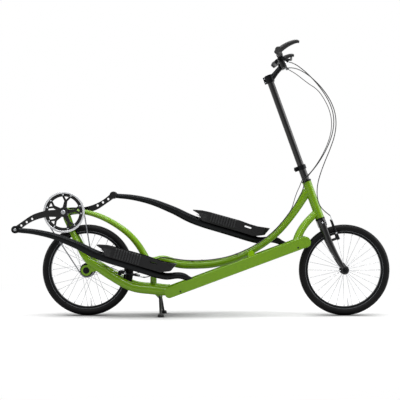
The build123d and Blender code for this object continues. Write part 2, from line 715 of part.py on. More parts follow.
guard_y = -CHAIN_Y - CHAIN_WIDTH / 2 - TOOTH_GAP
with BuildPart() as guard:
    with BuildSketch(side_plane(BB + Vector(0, guard_y, 0))):
        Circle(GUARD_OUTER_RADIUS)
        Circle(GUARD_INNER_RADIUS, mode=Mode.SUBTRACT)
    extrude(amount=GUARD_THICKNESS)
write(guard, "chain_guard_ring")

tip_radius = RING_BORE_RADIUS + 4
with BuildPart() as spider:
    with BuildSketch(side_plane(BB + Vector(0, ring_face - TOOTH_THICKNESS, 0))):
        Circle(GUARD_INNER_RADIUS)
        Circle(RING_BORE_RADIUS, mode=Mode.SUBTRACT)
        for arm in range(SPIDER_ARMS):
            heading = radians(80 + 360 / SPIDER_ARMS * arm)
            fork_at = (SPIDER_FORK_RADIUS * cos(heading), SPIDER_FORK_RADIUS * sin(heading))
            link((0, 0), 13, fork_at, 8)
            for swing in (-radians(13), radians(13)):
                tip = (tip_radius * cos(heading + swing), tip_radius * sin(heading + swing))
                link(fork_at, 6, tip, 5)
        Circle(27)
        Circle(SPINDLE_DIAMETER / 2, mode=Mode.SUBTRACT)
    extrude(amount=ring_face - TOOTH_THICKNESS - guard_y + GUARD_THICKNESS)
    with BuildSketch(side_plane(BB + Vector(0, guard_y - GUARD_THICKNESS, 0))):
        Circle(24)
        Circle(SPINDLE_DIAMETER / 2, mode=Mode.SUBTRACT)
    extrude(amount=CRANK_INNER_Y + guard_y - GUARD_THICKNESS)
write(spider, "crank_spider")

# ------------------------------------------------------------------ drive arms, platforms and rollers
PROFILE = [
    (0, 0, 27), (70, -8, 28), (130, -17, 31), (190, -31, 34), (240, -47, 37), (290, -67, 40), (341, -89, 43),
    (394, -116, 46), (440, -136, 47), (560, -175, 47), (680, -213, 44), (760, -239, 39), (800, -246, 37),
    (841, -242, 35), (870, -242, 35), (900, -252, 32), (925, -266, 26),
]
for name, side in SIDES:
    pin = PIN[side]
    reach = ALONG * sqrt(ARM_LENGTH**2 - ROLLER_DROP**2) - ABOVE * ROLLER_DROP
    roller = pin + reach
    with BuildPart() as drive_arm:
        loft_tube([(pin.X + x, side * ARM_Y, pin.Z + z, height, ARM_WIDTH) for x, z, height in PROFILE])
        rod(pin + Vector(0, side * (ARM_Y - 14), 0), pin + Vector(0, side * (ARM_Y + 14), 0), EYE_RADIUS)
        rod(
            pin + Vector(0, side * (ARM_Y - 30), 0),
            pin + Vector(0, side * (ARM_Y + 30), 0),
            CRANK_PIN_DIAMETER / 2 + RUNNING,
            Mode.SUBTRACT,
        )
        with BuildSketch(side_plane((0, side * ARM_Y + BLADE_THICKNESS / 2, 0))):
            link((pin.X + 898, pin.Z - 252), 14, (roller.X, roller.Z), 13)
        extrude(amount=BLADE_THICKNESS)
        pin_half = Vector(0, BLADE_THICKNESS / 2 + SKIN + ROLLER_WIDTH + 0.5, 0)
        arm_middle = roller + Vector(0, side * ARM_Y, 0)
        rod(arm_middle - pin_half, arm_middle + pin_half, ROLLER_PIN_DIAMETER / 2)
    write(drive_arm, f"{name}_drive_arm")

    # Tray-shaped platform in the arm's own frame: x along the arm, y above it
    deck = Plane(origin=pin, x_dir=(cos(radians(ARM_SLOPE)), 0, sin(radians(ARM_SLOPE))), z_dir=(0, -1, 0))
    centre_y = side * (ARM_Y + PLATFORM_OFFSET)
    side_view = deck.offset(-centre_y - PLATFORM_WIDTH / 2)
    top_view = Plane(origin=pin + Vector(0, centre_y, 0), x_dir=deck.x_dir, z_dir=deck.y_dir)
    length = PLATFORM_END - PLATFORM_START
    middle = (PLATFORM_START + PLATFORM_END) / 2
    with BuildPart() as platform:
        with BuildSketch(side_view):
            Polygon(
                (PLATFORM_START, 42), (PLATFORM_START, 46), (484, 56), (528, 59), (700, 61), (757, 57),
                (800, 57), (PLATFORM_END, 66), (847, 22), (800, 2), (500, 2), (488, 20), (472, 33),
                align=None,
            )
        extrude(amount=PLATFORM_WIDTH)
        with BuildSketch(top_view):
            with Locations((middle, 0)):
                RectangleRounded(length, PLATFORM_WIDTH, 36)
        extrude(amount=100, mode=Mode.INTERSECT)
        for start, depth in ((DECK_LEVEL, 60), (DECK_LEVEL - PLATFORM_WALL, -40)):
            with BuildSketch(top_view.offset(start)):
                with Locations((middle - 4, 0)):
                    RectangleRounded(length - 22, PLATFORM_WIDTH - PLATFORM_WALL * 2, 30)
            extrude(amount=depth, mode=Mode.SUBTRACT)
        with BuildSketch(side_view.offset(-2)):
            with Locations((750, 38)):
                SlotOverall(40, 9, rotation=-2)
        extrude(amount=PLATFORM_WIDTH + 4, mode=Mode.SUBTRACT)
        for place in (520, 770):
            with BuildSketch(top_view.offset(-22)):
                with Locations((place, -PLATFORM_OFFSET * side)):
                    Rectangle(34, 14)
            extrude(amount=22 + DECK_LEVEL - PLATFORM_WALL / 2)
        add(drive_arm.part, mode=Mode.SUBTRACT)
        platform.part = biggest(platform)
    write(platform, f"{name}_platform")

    with BuildPart() as roller_pair:
        for place in (ARM_Y - BLADE_THICKNESS / 2 - SKIN - ROLLER_WIDTH, ARM_Y + BLADE_THICKNESS / 2 + SKIN):
            left_face = place + ROLLER_WIDTH if side > 0 else -place
            with BuildSketch(side_plane(roller + Vector(0, left_face, 0))):
                Circle(ROLLER_RADIUS)
                Circle(ROLLER_PIN_DIAMETER / 2 + RUNNING, mode=Mode.SUBTRACT)
            extrude(amount=ROLLER_WIDTH)
    write(roller_pair, f"{name}_roller")

# ------------------------------------------------------------------ fork and steering column
with BuildPart() as steerer:
    with BuildSketch(steer_plane(CROWN_BOTTOM)):
        Circle(STEERER_DIAMETER / 2)
        Circle(COLUMN_DIAMETER / 2 + RUNNING, mode=Mode.SUBTRACT)
    extrude(amount=STEERER_TOP - CROWN_BOTTOM)
write(steerer, "steering_tube")

with BuildPart() as fork:
    with BuildSketch(steer_plane(CROWN_BOTTOM)):
        RectangleRounded(46, 100, 20)
    extrude(amount=HEAD_BOTTOM - 8 - 3 - CROWN_BOTTOM)
    with BuildSketch(steer_plane(CROWN_BOTTOM)):
        Circle(HEAD_TUBE_DIAMETER / 2 + 1)
    extrude(amount=HEAD_BOTTOM - 8 - CROWN_BOTTOM)
    for side in (-1, 1):
        loft_tube([
            (*on_steer(t, ahead, side * y), height, width)
            for t, ahead, y, height, width in (
                (CROWN_BOTTOM + 22, 0, 38, 38, 23),
                (225, 0, 39, 37, 22),
                (160, 3, 43, 33, 20),
                (90, 11, 49, 28, 17),
                (38, 20, 53, 24, 14),
                (14, 26, 54.5, 21, 12),
            )
        ])
        start = FRONT_DROPOUT_HALF + DROPOUT_THICKNESS if side > 0 else -FRONT_DROPOUT_HALF
        with BuildSketch(side_plane(FRONT_AXLE + Vector(0, start, 0))):
            Circle(20)
            with Locations((-12, 30)):
                Circle(11)
            Polygon((-19, 5), (19, 5), (-2, 34), (-23, 30), align=None)
        extrude(amount=DROPOUT_THICKNESS)
    rod(FRONT_AXLE - Vector(0, 70, 0), FRONT_AXLE + Vector(0, 70, 0), AXLE_DIAMETER / 2, Mode.SUBTRACT)
    add(steerer.part, mode=Mode.SUBTRACT)
    with BuildSketch(steer_plane(CROWN_BOTTOM)):
        Circle(COLUMN_DIAMETER / 2 + RUNNING)
    extrude(amount=60, mode=Mode.SUBTRACT)
write(fork, "fork")

with BuildPart() as collar:
    with BuildSketch(steer_plane(STEERER_TOP - 24)):
        Circle(COLLAR_DIAMETER / 2)
        with Locations((-COLLAR_DIAMETER / 2 - 4, 0)):
            Rectangle(20, 20)
        Circle(STEERER_DIAMETER / 2, mode=Mode.SUBTRACT)
    extrude(amount=24)
    lever_at = on_steer(STEERER_TOP - 12, -COLLAR_DIAMETER / 2 - 8)
    rod(lever_at + Vector(0, -18, 0), lever_at + Vector(0, 22, 0), 5)
    rod(lever_at + Vector(0, -18, 0), lever_at + Vector(0, -9, 0), 8)
    rod(lever_at + Vector(0, 9, 0), lever_at + Vector(0, 24, 0), 8)
    rod(lever_at + Vector(0, 19, 0), lever_at + Vector(0, 32, 0) + STEER_AHEAD * 58, 4.5)
write(collar, "column_clamp")

with BuildPart() as column:
    with BuildSketch(steer_plane(STEERER_TOP - COLUMN_INSERT)):
        Circle(COLUMN_DIAMETER / 2)
        Circle(COLUMN_DIAMETER / 2 - 2.5, mode=Mode.SUBTRACT)
    extrude(amount=COLUMN_TOP - STEERER_TOP + COLUMN_INSERT)
write(column, "upper_column")

BAR_CENTRE = on_steer(COLUMN_TOP - 12, STEM_REACH) + STEER_UP * STEM_RISE
with BuildPart() as bar_space:
    rod(BAR_CENTRE - Vector(0, 40, 0), BAR_CENTRE + Vector(0, 40, 0), BAR_CLAMP_DIAMETER / 2)

with BuildPart() as stem:
    with BuildSketch(steer_plane(COLUMN_TOP - 36)):
        Circle(COLUMN_DIAMETER / 2 + 5)
        with Locations((-COLUMN_DIAMETER / 2 - 7, 0)):
            Rectangle(14, 16)
    extrude(amount=38)
    with BuildSketch(steer_plane(COLUMN_TOP + 2)):
        Circle(COLUMN_DIAMETER / 2 + 2)
    extrude(amount=4)
    loft_tube([
        (*on_steer(COLUMN_TOP - 18, 10), 34, 32),
        (*(on_steer(COLUMN_TOP - 16, STEM_REACH * 0.5) + STEER_UP * STEM_RISE * 0.5), 28, 28),
        (*BAR_CENTRE, 30, 32),
    ])
    rod(BAR_CENTRE - Vector(0, 22, 0), BAR_CENTRE + Vector(0, 22, 0), BAR_CLAMP_DIAMETER / 2 + 5)
    with BuildSketch(steer_plane(COLUMN_TOP - 60)):
        Circle(COLUMN_DIAMETER / 2)
    extrude(amount=60, mode=Mode.SUBTRACT)
    add(bar_space.part, mode=Mode.SUBTRACT)
    stem.part = biggest(stem)
write(stem, "stem")


def on_bar(ahead, up, y):
    """Point relative to the handlebar's clamp."""
    return BAR_CENTRE + Vector(ahead, y, up)


with BuildPart() as handlebar:
    rod(BAR_CENTRE - Vector(0, 30, 0), BAR_CENTRE + Vector(0, 30, 0), BAR_CLAMP_DIAMETER / 2)
    pipe(
        [
            on_bar(*GRIP_END, -BAR_HALF_WIDTH), on_bar(*GRIP_START, -GRIP_START_Y), on_bar(0, 0, -42),
            on_bar(0, 0, 42), on_bar(*GRIP_START, GRIP_START_Y), on_bar(*GRIP_END, BAR_HALF_WIDTH),
        ],
        BAR_DIAMETER / 2,
        [60, 40, 40, 60],
    )
write(handlebar, "handlebar")

def beside_grip(side, y, out=0.0, up=0.0):
    """Point beside a grip's centreline, at y from the middle of the bar, out ahead and up from it."""
    share = (y - GRIP_START_Y) / (BAR_HALF_WIDTH - GRIP_START_Y)
    ahead = GRIP_START[0] + (GRIP_END[0] - GRIP_START[0]) * share + out
    return on_bar(ahead, GRIP_START[1] + (GRIP_END[1] - GRIP_START[1]) * share + up, side * y)


for name, side in SIDES:
    with BuildPart() as grip:
        rod(beside_grip(side, GRIP_START_Y + GRIP_INSET), beside_grip(side, BAR_HALF_WIDTH + 3), GRIP_RADIUS)
        loft_tube([
            (*beside_grip(side, 262, -14, -16), 22, 26),
            (*beside_grip(side, 262, -2, -3), 31, 33),
            (*beside_grip(side, 262, 14, 9), 30, 32),
            (*beside_grip(side, 261, 35, 24), 27, 28),
            (*beside_grip(side, 259, 61, 38), 24, 25),
            (*beside_grip(side, 257, 87, 47), 20, 22),
            (*beside_grip(side, 255, 106, 46), 14, 17),
        ])
        add(handlebar.part, mode=Mode.SUBTRACT)
    write(grip, f"{name}_grip")

    with BuildPart() as lever:
        rod(beside_grip(side, 132), beside_grip(side, 150), 17)
        pipe(
            [
                beside_grip(side, 141, 8, -8), beside_grip(side, 143, 34, -22),
                beside_grip(side, 178, 62, -34), beside_grip(side, 262, 66, -30),
            ],
            5.5,
            [14, 22],
        )
        rod(beside_grip(side, 137, 12, -12), beside_grip(side, 128, 46, -32), 8)
        add(handlebar.part, mode=Mode.SUBTRACT)
    write(lever, f"{name}_brake_lever")

shifter_at = on_bar(GRIP_START[0] * 0.62, GRIP_START[1] * 0.62, SHIFTER_Y)
shifter_foot = shifter_at + Vector(20, 8, -46)
with BuildPart() as shifter:
    rod(shifter_at + Vector(0, 9, -1), shifter_at + Vector(0, -9, 1), 17)
    rod(shifter_at + Vector(4, 8, -10), shifter_foot, 15)
    add(handlebar.part, mode=Mode.SUBTRACT)
    shifter.part = biggest(shifter)
write(shifter, "shifter")


# ------------------------------------------------------------------ rim brakes
def rim_brake(axle, outward, stud, lift, base, noodle_side):
    """Pair of brake arms beside a wheel, their pivots on studs, with pads, link wire and noodle."""

    def at(radius, above, y):
        return axle + outward * radius + stud * above + Vector(0, y, 0)

    for side in (-1, 1):
        stud_y = side * BRAKE_STUD_Y
        rod(at(PIVOT_RADIUS, base, stud_y), at(PIVOT_RADIUS, lift + 8, stud_y), 5)
        rod(at(PIVOT_RADIUS, lift - 7, stud_y), at(PIVOT_RADIUS, lift + 6, stud_y), 8.5)
        rod(at(PIVOT_RADIUS, lift, stud_y), at(ARM_TOP_RADIUS, lift, side * 28), 5.5)
        rod(at(PAD_RADIUS, lift, side * 20), at(PAD_RADIUS, lift, side * 40), 3.5)
        plane = side_plane(axle + Vector(0, PAD_BACK if side > 0 else -PAD_FACE, 0))
        centre = plane.to_local_coords(at(PAD_RADIUS, lift, 0))
        with BuildSketch(plane) as pad:
            Circle(RIM_INNER_RADIUS + 10)
            Circle(RIM_INNER_RADIUS + 1, mode=Mode.SUBTRACT)
            with Locations((centre.X, centre.Y)):
                Circle(25, mode=Mode.INTERSECT)
        extrude(pad.sketch, amount=PAD_BACK - PAD_FACE)
    rod(at(ARM_TOP_RADIUS - 4, lift, -30), at(ARM_TOP_RADIUS - 4, lift, 30), 1.6)
    pipe(
        [
            at(ARM_TOP_RADIUS - 4, lift, noodle_side * 27), at(ARM_TOP_RADIUS - 2, lift, noodle_side * 44),
            at(ARM_TOP_RADIUS + NOODLE_REACH, lift, noodle_side * NOODLE_Y),
        ],
        2.6,
        9,
    )


with BuildPart() as front_brake:
    rim_brake(FRONT_AXLE, STEER_UP, STEER_AHEAD, FRONT_BRAKE_LIFT, -24, -1)
    add(fork.part, mode=Mode.SUBTRACT)
write(front_brake, "front_brake")

with BuildPart() as rear_brake:
    rim_brake(REAR_AXLE, REAR_BRAKE_OUT, REAR_BRAKE_UP, REAR_BRAKE_LIFT, -14, -1)
    for side in (-1, 1):
        foot = REAR_AXLE + REAR_BRAKE_OUT * PIVOT_RADIUS - REAR_BRAKE_UP * 8
        rod(foot + Vector(0, side * 31, 0), foot + Vector(0, side * 80, 0), 9)
        add(stay_parts[side], mode=Mode.SUBTRACT)
    rear_brake.part = Part(rear_brake.part.solids().filter_by(lambda solid: solid.volume > 3000))
write(rear_brake, "rear_brake")

# ------------------------------------------------------------------ cables
lever_mouth = on_bar(GRIP_START[0] + 52, GRIP_START[1] - 36, 0)
noodle_out = ARM_TOP_RADIUS + NOODLE_REACH
front_noodle = FRONT_AXLE + STEER_UP * (noodle_out + FRONT_NOODLE_GAP) + STEER_AHEAD * FRONT_BRAKE_LIFT
rear_noodle = REAR_AXLE + REAR_BRAKE_OUT * (noodle_out + REAR_NOODLE_GAP) + REAR_BRAKE_UP * REAR_BRAKE_LIFT
noodle_side = Vector(0, -NOODLE_Y, 0)
front_route = [lever_mouth + Vector(0, 121, 0)]
front_route += [Vector(*point) for point in FRONT_RUN]
front_route += [front_noodle + noodle_side]
write(cord(front_route, BRAKE_CABLE_RADIUS, "front_brake_cable"), "front_brake_cable")

rear_route = [lever_mouth + Vector(0, -121, 0)]
rear_route += [Vector(*point) for point in REAR_RUN]
rear_route += [Vector(CABLE_SPLIT[0], -40, CABLE_SPLIT[1])]
write(cord(rear_route, BRAKE_CABLE_RADIUS, "bar_brake_cable"), "bar_brake_cable")

gear_route = [shifter_foot + Vector(0.6, 0, -1.35), Vector(486, -82, 1290), Vector(520, -60, 1268)]
gear_route += [Vector(560, -46, 1238)]
gear_route += [Vector(x - 11, -35, z - 11) for x, _, z in REAR_RUN[4:]]
gear_route += [Vector(CABLE_SPLIT[0] - 14, -30, CABLE_SPLIT[1] + 2)]
write(cord(gear_route, GEAR_CABLE_RADIUS, "bar_gear_cable"), "bar_gear_cable")

# Both frame cables lie along the main tube's top, one on each side of its ridge
rear_main = [Vector(CABLE_SPLIT[0] - 0.2, -40, CABLE_SPLIT[1] - 1.5)]
rear_main += [Vector(541, -38, 684), Vector(518, -29, 628)]
rear_main += [Vector(x, -RIDGE_Y, z) for x, z in RIDGE]
rear_main += [Vector(-240, -31, 309), Vector(-252, -38, 270), Vector(-259, -41, 234), Vector(-280, -48, 205)]
rear_main += [rear_noodle + noodle_side]
write(cord(rear_main, BRAKE_CABLE_RADIUS, "frame_brake_cable"), "frame_brake_cable")

gear_main = [Vector(532.4, -29.7, 724.3), Vector(522, -24, 694), Vector(507, -8, 662), Vector(494, 10, 622)]
gear_main += [Vector(x, RIDGE_Y, z) for x, z in RIDGE]
gear_main += [
    Vector(-240, 31, 308), Vector(-270, 42, 267), Vector(-306, 50, 240), Vector(-350, 54, 222),
    Vector(-404, 55, 214), Vector(-462, 55, 238), Vector(-516, 55, 262), Vector(-560, 55, 262),
    Vector(-590, 55, 250),
]
write(cord(gear_main, GEAR_CABLE_RADIUS, "frame_gear_cable"), "frame_gear_cable")
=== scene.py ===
"""Looks of a stand-up elliptical bicycle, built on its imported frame.

Places are vectors in metres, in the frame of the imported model: +X forward, +Y to the rider's left, +Z up.
Sizes, such as radii, widths and chamfers, are in millimetres, and MM turns them to metres.
Each sub-assembly is a class that holds its sizes and builds or dresses its own pieces.
"""

from __future__ import annotations

import json
import logging
import math
from dataclasses import dataclass, field
from enum import Enum
from typing import Any, Callable, Iterable, Sequence

import bmesh
import bpy
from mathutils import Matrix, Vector


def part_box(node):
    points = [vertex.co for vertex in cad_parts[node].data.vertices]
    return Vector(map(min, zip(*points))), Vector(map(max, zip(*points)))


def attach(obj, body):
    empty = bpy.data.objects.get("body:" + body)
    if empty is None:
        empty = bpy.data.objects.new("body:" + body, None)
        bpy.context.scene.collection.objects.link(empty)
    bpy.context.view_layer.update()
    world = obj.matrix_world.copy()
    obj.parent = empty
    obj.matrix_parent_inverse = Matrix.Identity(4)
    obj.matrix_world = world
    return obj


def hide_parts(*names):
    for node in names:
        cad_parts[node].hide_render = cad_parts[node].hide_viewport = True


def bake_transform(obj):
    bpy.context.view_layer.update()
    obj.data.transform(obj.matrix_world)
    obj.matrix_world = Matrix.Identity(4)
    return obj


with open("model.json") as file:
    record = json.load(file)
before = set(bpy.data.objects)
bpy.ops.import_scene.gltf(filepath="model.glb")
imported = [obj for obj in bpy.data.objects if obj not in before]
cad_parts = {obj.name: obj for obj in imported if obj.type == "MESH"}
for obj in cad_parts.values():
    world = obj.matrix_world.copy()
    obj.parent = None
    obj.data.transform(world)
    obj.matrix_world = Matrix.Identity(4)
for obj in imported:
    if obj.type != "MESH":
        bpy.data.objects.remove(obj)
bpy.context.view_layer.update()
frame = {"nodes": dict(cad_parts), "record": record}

logging.basicConfig(level=logging.INFO, format="%(name)s: %(message)s")
LOG = logging.getLogger("elliptical_bicycle")

MM = 0.001
AHEAD = Vector((1.0, 0.0, 0.0))
LATERAL = Vector((0.0, 1.0, 0.0))
UPWARD = Vector((0.0, 0.0, 1.0))
SIGNS = (-1, 1)
Triple = tuple[float, float, float]


class Side(Enum):
    """The rider's two sides, with the sign that each has along Y."""

    RIGHT = -1
    LEFT = 1

    @property
    def word(self) -> str:
        """The side's name in lower case, as the nodes use it."""
        return self.name.lower()


class Edge(Enum):
    """How round a piece's outer edges are, as a bevel width in millimetres."""

    NONE = 0.0
    FINE = 0.4
    SOFT = 1.0
    ROUND = 2.2


# ---------------------------------------------------------------------------------- finishes


def linear(colour: str) -> tuple[float, float, float, float]:
    """Turn an sRGB hex colour to linear light.

    Args:
        colour: Six hex digits after a leading #.

    Returns:
        Red, green, blue and alpha, for a shader's socket.
    """
    channels = [int(colour[start : start + 2], 16) / 255 for start in (1, 3, 5)]
    red, green, blue = (c / 12.92 if c <= 0.04045 else ((c + 0.055) / 1.055) ** 2.4 for c in channels)
    return (red, green, blue, 1.0)


def add_node(
    tree: bpy.types.NodeTree,
    kind: str,
    settings: dict[str, Any] | None = None,
    links: dict[str, Any] | None = None,
) -> bpy.types.Node:
    """Add one node to a material's tree, with its settings and incoming links.

    Args:
        tree: The node tree to add to.
        kind: Blender's name for the node type.
        settings: Values by property or input name; an input's name may be its number.
        links: Output sockets by the name of the input that each feeds.

    Returns:
        The new node.
    """
    node = tree.nodes.new(kind)
    for name, value in (settings or {}).items():
        if name.isdigit():
            node.inputs[int(name)].default_value = value
        elif hasattr(node, name):
            setattr(node, name, value)
        else:
            node.inputs[name].default_value = value
    for name, socket in (links or {}).items():
        tree.links.new(socket, node.inputs[int(name)] if name.isdigit() else node.inputs[name])
    return node


@dataclass(frozen=True)
class Finish:
    """One real material and how its surface was made.

    Attributes:
        title: The material's common name.
        slot: The record's material slot that it stands for; not used.
        colour: Main sRGB colour.
        shade: Second sRGB colour, for slow variation across the piece.
        roughness: Roughness of the polished areas.
        metallic: 1 for bare metal and 0 for everything else.
        ior: Index of refraction, left at 1.5 for a metal.
        specular: Blender's specular level: less than 0.5 where a matte skin's pores trap light.
        coat: Weight of the clear layer over the colour.
        coat_roughness: Roughness of that layer.
        mottle_mm: Size of the slow colour variation.
        grain_mm: Size of the fine surface relief.
        grain_depth_mm: Height of that relief.
        wear: How much the roughness varies.
    """

    title: str
    slot: str
    colour: str
    shade: str
    roughness: float = 0.4
    metallic: float = 0.0
    ior: float = 1.5
    specular: float = 0.5
    coat: float = 0.0
    coat_roughness: float = 0.05
    mottle_mm: float = 60.0
    grain_mm: float = 1.0
    grain_depth_mm: float = 0.02
    wear: float = 0.08

    def relief(self, tree: bpy.types.NodeTree, place: bpy.types.NodeSocket) -> bpy.types.NodeSocket:
        """Return the height of the fine relief; a subclass changes its pattern."""
        size = {"Scale": 1 / (self.grain_mm * MM), "Detail": 3.0}
        return add_node(tree, "ShaderNodeTexNoise", size, {"Vector": place}).outputs["Fac"]

    def build(self) -> bpy.types.Material:
        """Build the material's nodes once.

        Returns:
            The finished material.
        """
        if self.title in bpy.data.materials:
            return bpy.data.materials[self.title]
        material = bpy.data.materials.new(self.title)
        material.use_nodes = True
        tree = material.node_tree
        tree.nodes.clear()
        place = add_node(tree, "ShaderNodeTexCoord").outputs["Object"]
        spread = {"Scale": 1 / (self.mottle_mm * MM), "Detail": 4.0, "Roughness": 0.6}
        mottle = add_node(tree, "ShaderNodeTexNoise", spread, {"Vector": place}).outputs["Fac"]
        colours = {"data_type": "RGBA", "6": linear(self.shade), "7": linear(self.colour)}
        tint = add_node(tree, "ShaderNodeMix", colours, {"0": mottle})
        smoothest = max(0.03, self.roughness - self.wear)
        limits = {"To Min": smoothest, "To Max": self.roughness + self.wear}
        polish = add_node(tree, "ShaderNodeMapRange", limits, {"Value": mottle})
        height = {"Strength": 1.0, "Distance": self.grain_depth_mm * MM}
        bump = add_node(tree, "ShaderNodeBump", height, {"Height": self.relief(tree, place)})
        surface = {
            "Metallic": self.metallic,
            "IOR": self.ior,
            "Specular IOR Level": self.specular,
            "Coat Weight": self.coat,
            "Coat Roughness": self.coat_roughness,
        }
        patterns = {"Base Color": tint.outputs[2], "Roughness": polish.outputs[0], "Normal": bump.outputs[0]}
        shader = add_node(tree, "ShaderNodeBsdfPrincipled", surface, patterns)
        add_node(tree, "ShaderNodeOutputMaterial", {}, {"Surface": shader.outputs["BSDF"]})
        return material


@dataclass(frozen=True)
class KnurledFinish(Finish):
    """A moulded surface of small raised cells, as on a grip's palm or a foot pad."""

    def relief(self, tree: bpy.types.NodeTree, place: bpy.types.NodeSocket) -> bpy.types.NodeSocket:
        """Return the height of the cells."""
        size = {"Scale": 1 / (self.grain_mm * MM)}
        return add_node(tree, "ShaderNodeTexVoronoi", size, {"Vector": place}).outputs["Distance"]


# Two-pack gloss paint on aluminium: a wet, even leaf green with faint orange peel.
GREEN_PAINT = Finish(
    "gloss_green_paint_on_aluminium", "green_paint", "#7CAA05", "#72A003", 0.12, specular=0.34,
    mottle_mm=180, grain_mm=2.5, grain_depth_mm=0.006, wear=0.04,
)
# Gloss black paint: near black, with broad soft highlights along each tube.
BLACK_PAINT = Finish(
    "gloss_black_paint_on_aluminium", "black_paint", "#0A0A0B", "#060607", 0.17,
    mottle_mm=90, grain_mm=2.0, grain_depth_mm=0.006, wear=0.06,
)
# Bead-blasted and anodised alloy: satin black that greys a little at grazing angles.
BLACK_ANODISED = Finish(
    "black_anodised_aluminium", "black_anodised", "#232425", "#18191A", 0.3, metallic=1.0,
    mottle_mm=25, grain_mm=0.6, grain_depth_mm=0.01, wear=0.1,
)
# Turned alloy with a clear finish: bright and slightly streaked.
SILVER_ALLOY = Finish(
    "turned_clear_anodised_aluminium", "silver_alloy", "#DCDDDF", "#CFD0D2", 0.34, metallic=1.0,
    mottle_mm=30, grain_mm=0.5, grain_depth_mm=0.004, wear=0.06,
)
# Machined rim side, dulled by the pads: grey with a soft shine.
RUBBED_ALLOY = Finish(
    "machined_rim_aluminium", "silver_alloy", "#8C8E91", "#737578", 0.36, metallic=1.0,
    mottle_mm=20, grain_mm=0.5, grain_depth_mm=0.004, wear=0.1,
)
# Drawn stainless wire and turned steel: bright, with tight highlights.
BRIGHT_STEEL = Finish(
    "drawn_stainless_steel", "bright_steel", "#C9CBCE", "#A9ACB0", 0.22, metallic=1.0,
    mottle_mm=10, grain_mm=0.4, grain_depth_mm=0.004, wear=0.08,
)
# Oiled steel chain: darker between the plates, where oil holds dust.
CHAIN_STEEL = Finish(
    "oiled_steel_chain", "bright_steel", "#9A9CA0", "#5E6064", 0.34, metallic=1.0,
    mottle_mm=5, grain_mm=0.5, grain_depth_mm=0.01, wear=0.14,
)
# Vulcanised rubber: deep matte black with a faint bloom on the side wall.
TYRE_RUBBER = Finish(
    "vulcanised_tyre_rubber", "tyre_rubber", "#0C0C0D", "#080809", 0.52, ior=1.52, specular=0.12,
    mottle_mm=30, grain_mm=0.7, grain_depth_mm=0.03, wear=0.1,
)
# Soft moulded rubber with a fine leathery grain.
GRIP_RUBBER = KnurledFinish(
    "moulded_grip_rubber", "grip_rubber", "#0E0E0F", "#09090A", 0.45, ior=1.52, specular=0.3,
    mottle_mm=18, grain_mm=1.6, grain_depth_mm=0.12, wear=0.1,
)
# Glass-filled nylon straight from the mould: dull black with a fine spark-eroded texture.
BLACK_NYLON = Finish(
    "moulded_glass_filled_nylon", "black_plastic", "#0D0D0E", "#08080A", 0.42, ior=1.53, specular=0.25,
    mottle_mm=40, grain_mm=0.8, grain_depth_mm=0.03, wear=0.1,
)
# The same nylon, greyer and smoother: the grey is a painted highlight that picks out the ribs.
RIB_HIGHLIGHT_NYLON = Finish(
    "rubbed_glass_filled_nylon", "black_plastic", "#252628", "#1B1C1D", 0.34, ior=1.53, specular=0.35,
    mottle_mm=24, grain_mm=0.8, grain_depth_mm=0.02, wear=0.08,
)
# Anti-slip foot pad: moulded rubber with small raised cells, which keep it dull.
FOOT_PAD = KnurledFinish(
    "moulded_anti_slip_rubber", "black_plastic", "#0C0C0D", "#080808", 0.6, ior=1.52, specular=0.2,
    mottle_mm=30, grain_mm=4.0, grain_depth_mm=0.6, wear=0.08,
)
# Hard cast urethane: dark grey with a waxy sheen.
URETHANE = Finish(
    "cast_urethane", "roller_plastic", "#2E2F31", "#232425", 0.35,
    mottle_mm=12, grain_mm=0.8, grain_depth_mm=0.01, wear=0.06,
)
# Forged and anodised brake alloy: satin black with soft forging marks.
BRAKE_ALLOY = Finish(
    "forged_black_aluminium", "brake_alloy", "#242527", "#18191A", 0.36, metallic=1.0,
    mottle_mm=10, grain_mm=0.9, grain_depth_mm=0.02, wear=0.12,
)
# Extruded polymer sleeve over a spiral liner: smooth black with a thin highlight.
CABLE_SLEEVE = Finish(
    "extruded_cable_sleeve", "cable_sleeve", "#0E0E0F", "#090909", 0.3,
    mottle_mm=20, grain_mm=0.5, grain_depth_mm=0.004, wear=0.05,
)
# Stove-enamelled steel: plain black with a low gloss.
STAND_STEEL = Finish(
    "stove_enamelled_steel", "stand_steel", "#111112", "#0B0B0C", 0.38, coat=0.3, coat_roughness=0.2,
    mottle_mm=20, grain_mm=1.0, grain_depth_mm=0.012, wear=0.1,
)


# ---------------------------------------------------------------------------------- mesh tools


def finish_piece(
    name: str,
    mesh: bmesh.types.BMesh,
    finish: Finish,
    body: str | None,
    replaces: Sequence[str] = (),
    smooth_deg: float = 35.0,
) -> bpy.types.Object:
    """body: The body that it rides on, or None for a piece that is attached to no body.
        replaces: Nodes that it stands for.
        smooth_deg: Edges sharper than this stay crisp.

    Returns:
        The new object.
    """
    bmesh.ops.recalc_face_normals(mesh, faces=mesh.faces)
    for face in mesh.faces:
        face.smooth = True
    limit = math.radians(smooth_deg)
    for edge in mesh.edges:
        edge.smooth = len(edge.link_faces) == 2 and edge.calc_face_angle(0.0) < limit
    data = bpy.data.meshes.new(name)
    mesh.to_mesh(data)
    mesh.free()
    data.materials.append(finish.build())
    piece = bpy.data.objects.new(name, data)
    bpy.context.scene.collection.objects.link(piece)
    if replaces:
        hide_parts(*replaces)
    if body:
        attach(piece, body)
    LOG.info("%s: %d faces on %s", name, len(data.polygons), body or "two bodies")
    return piece


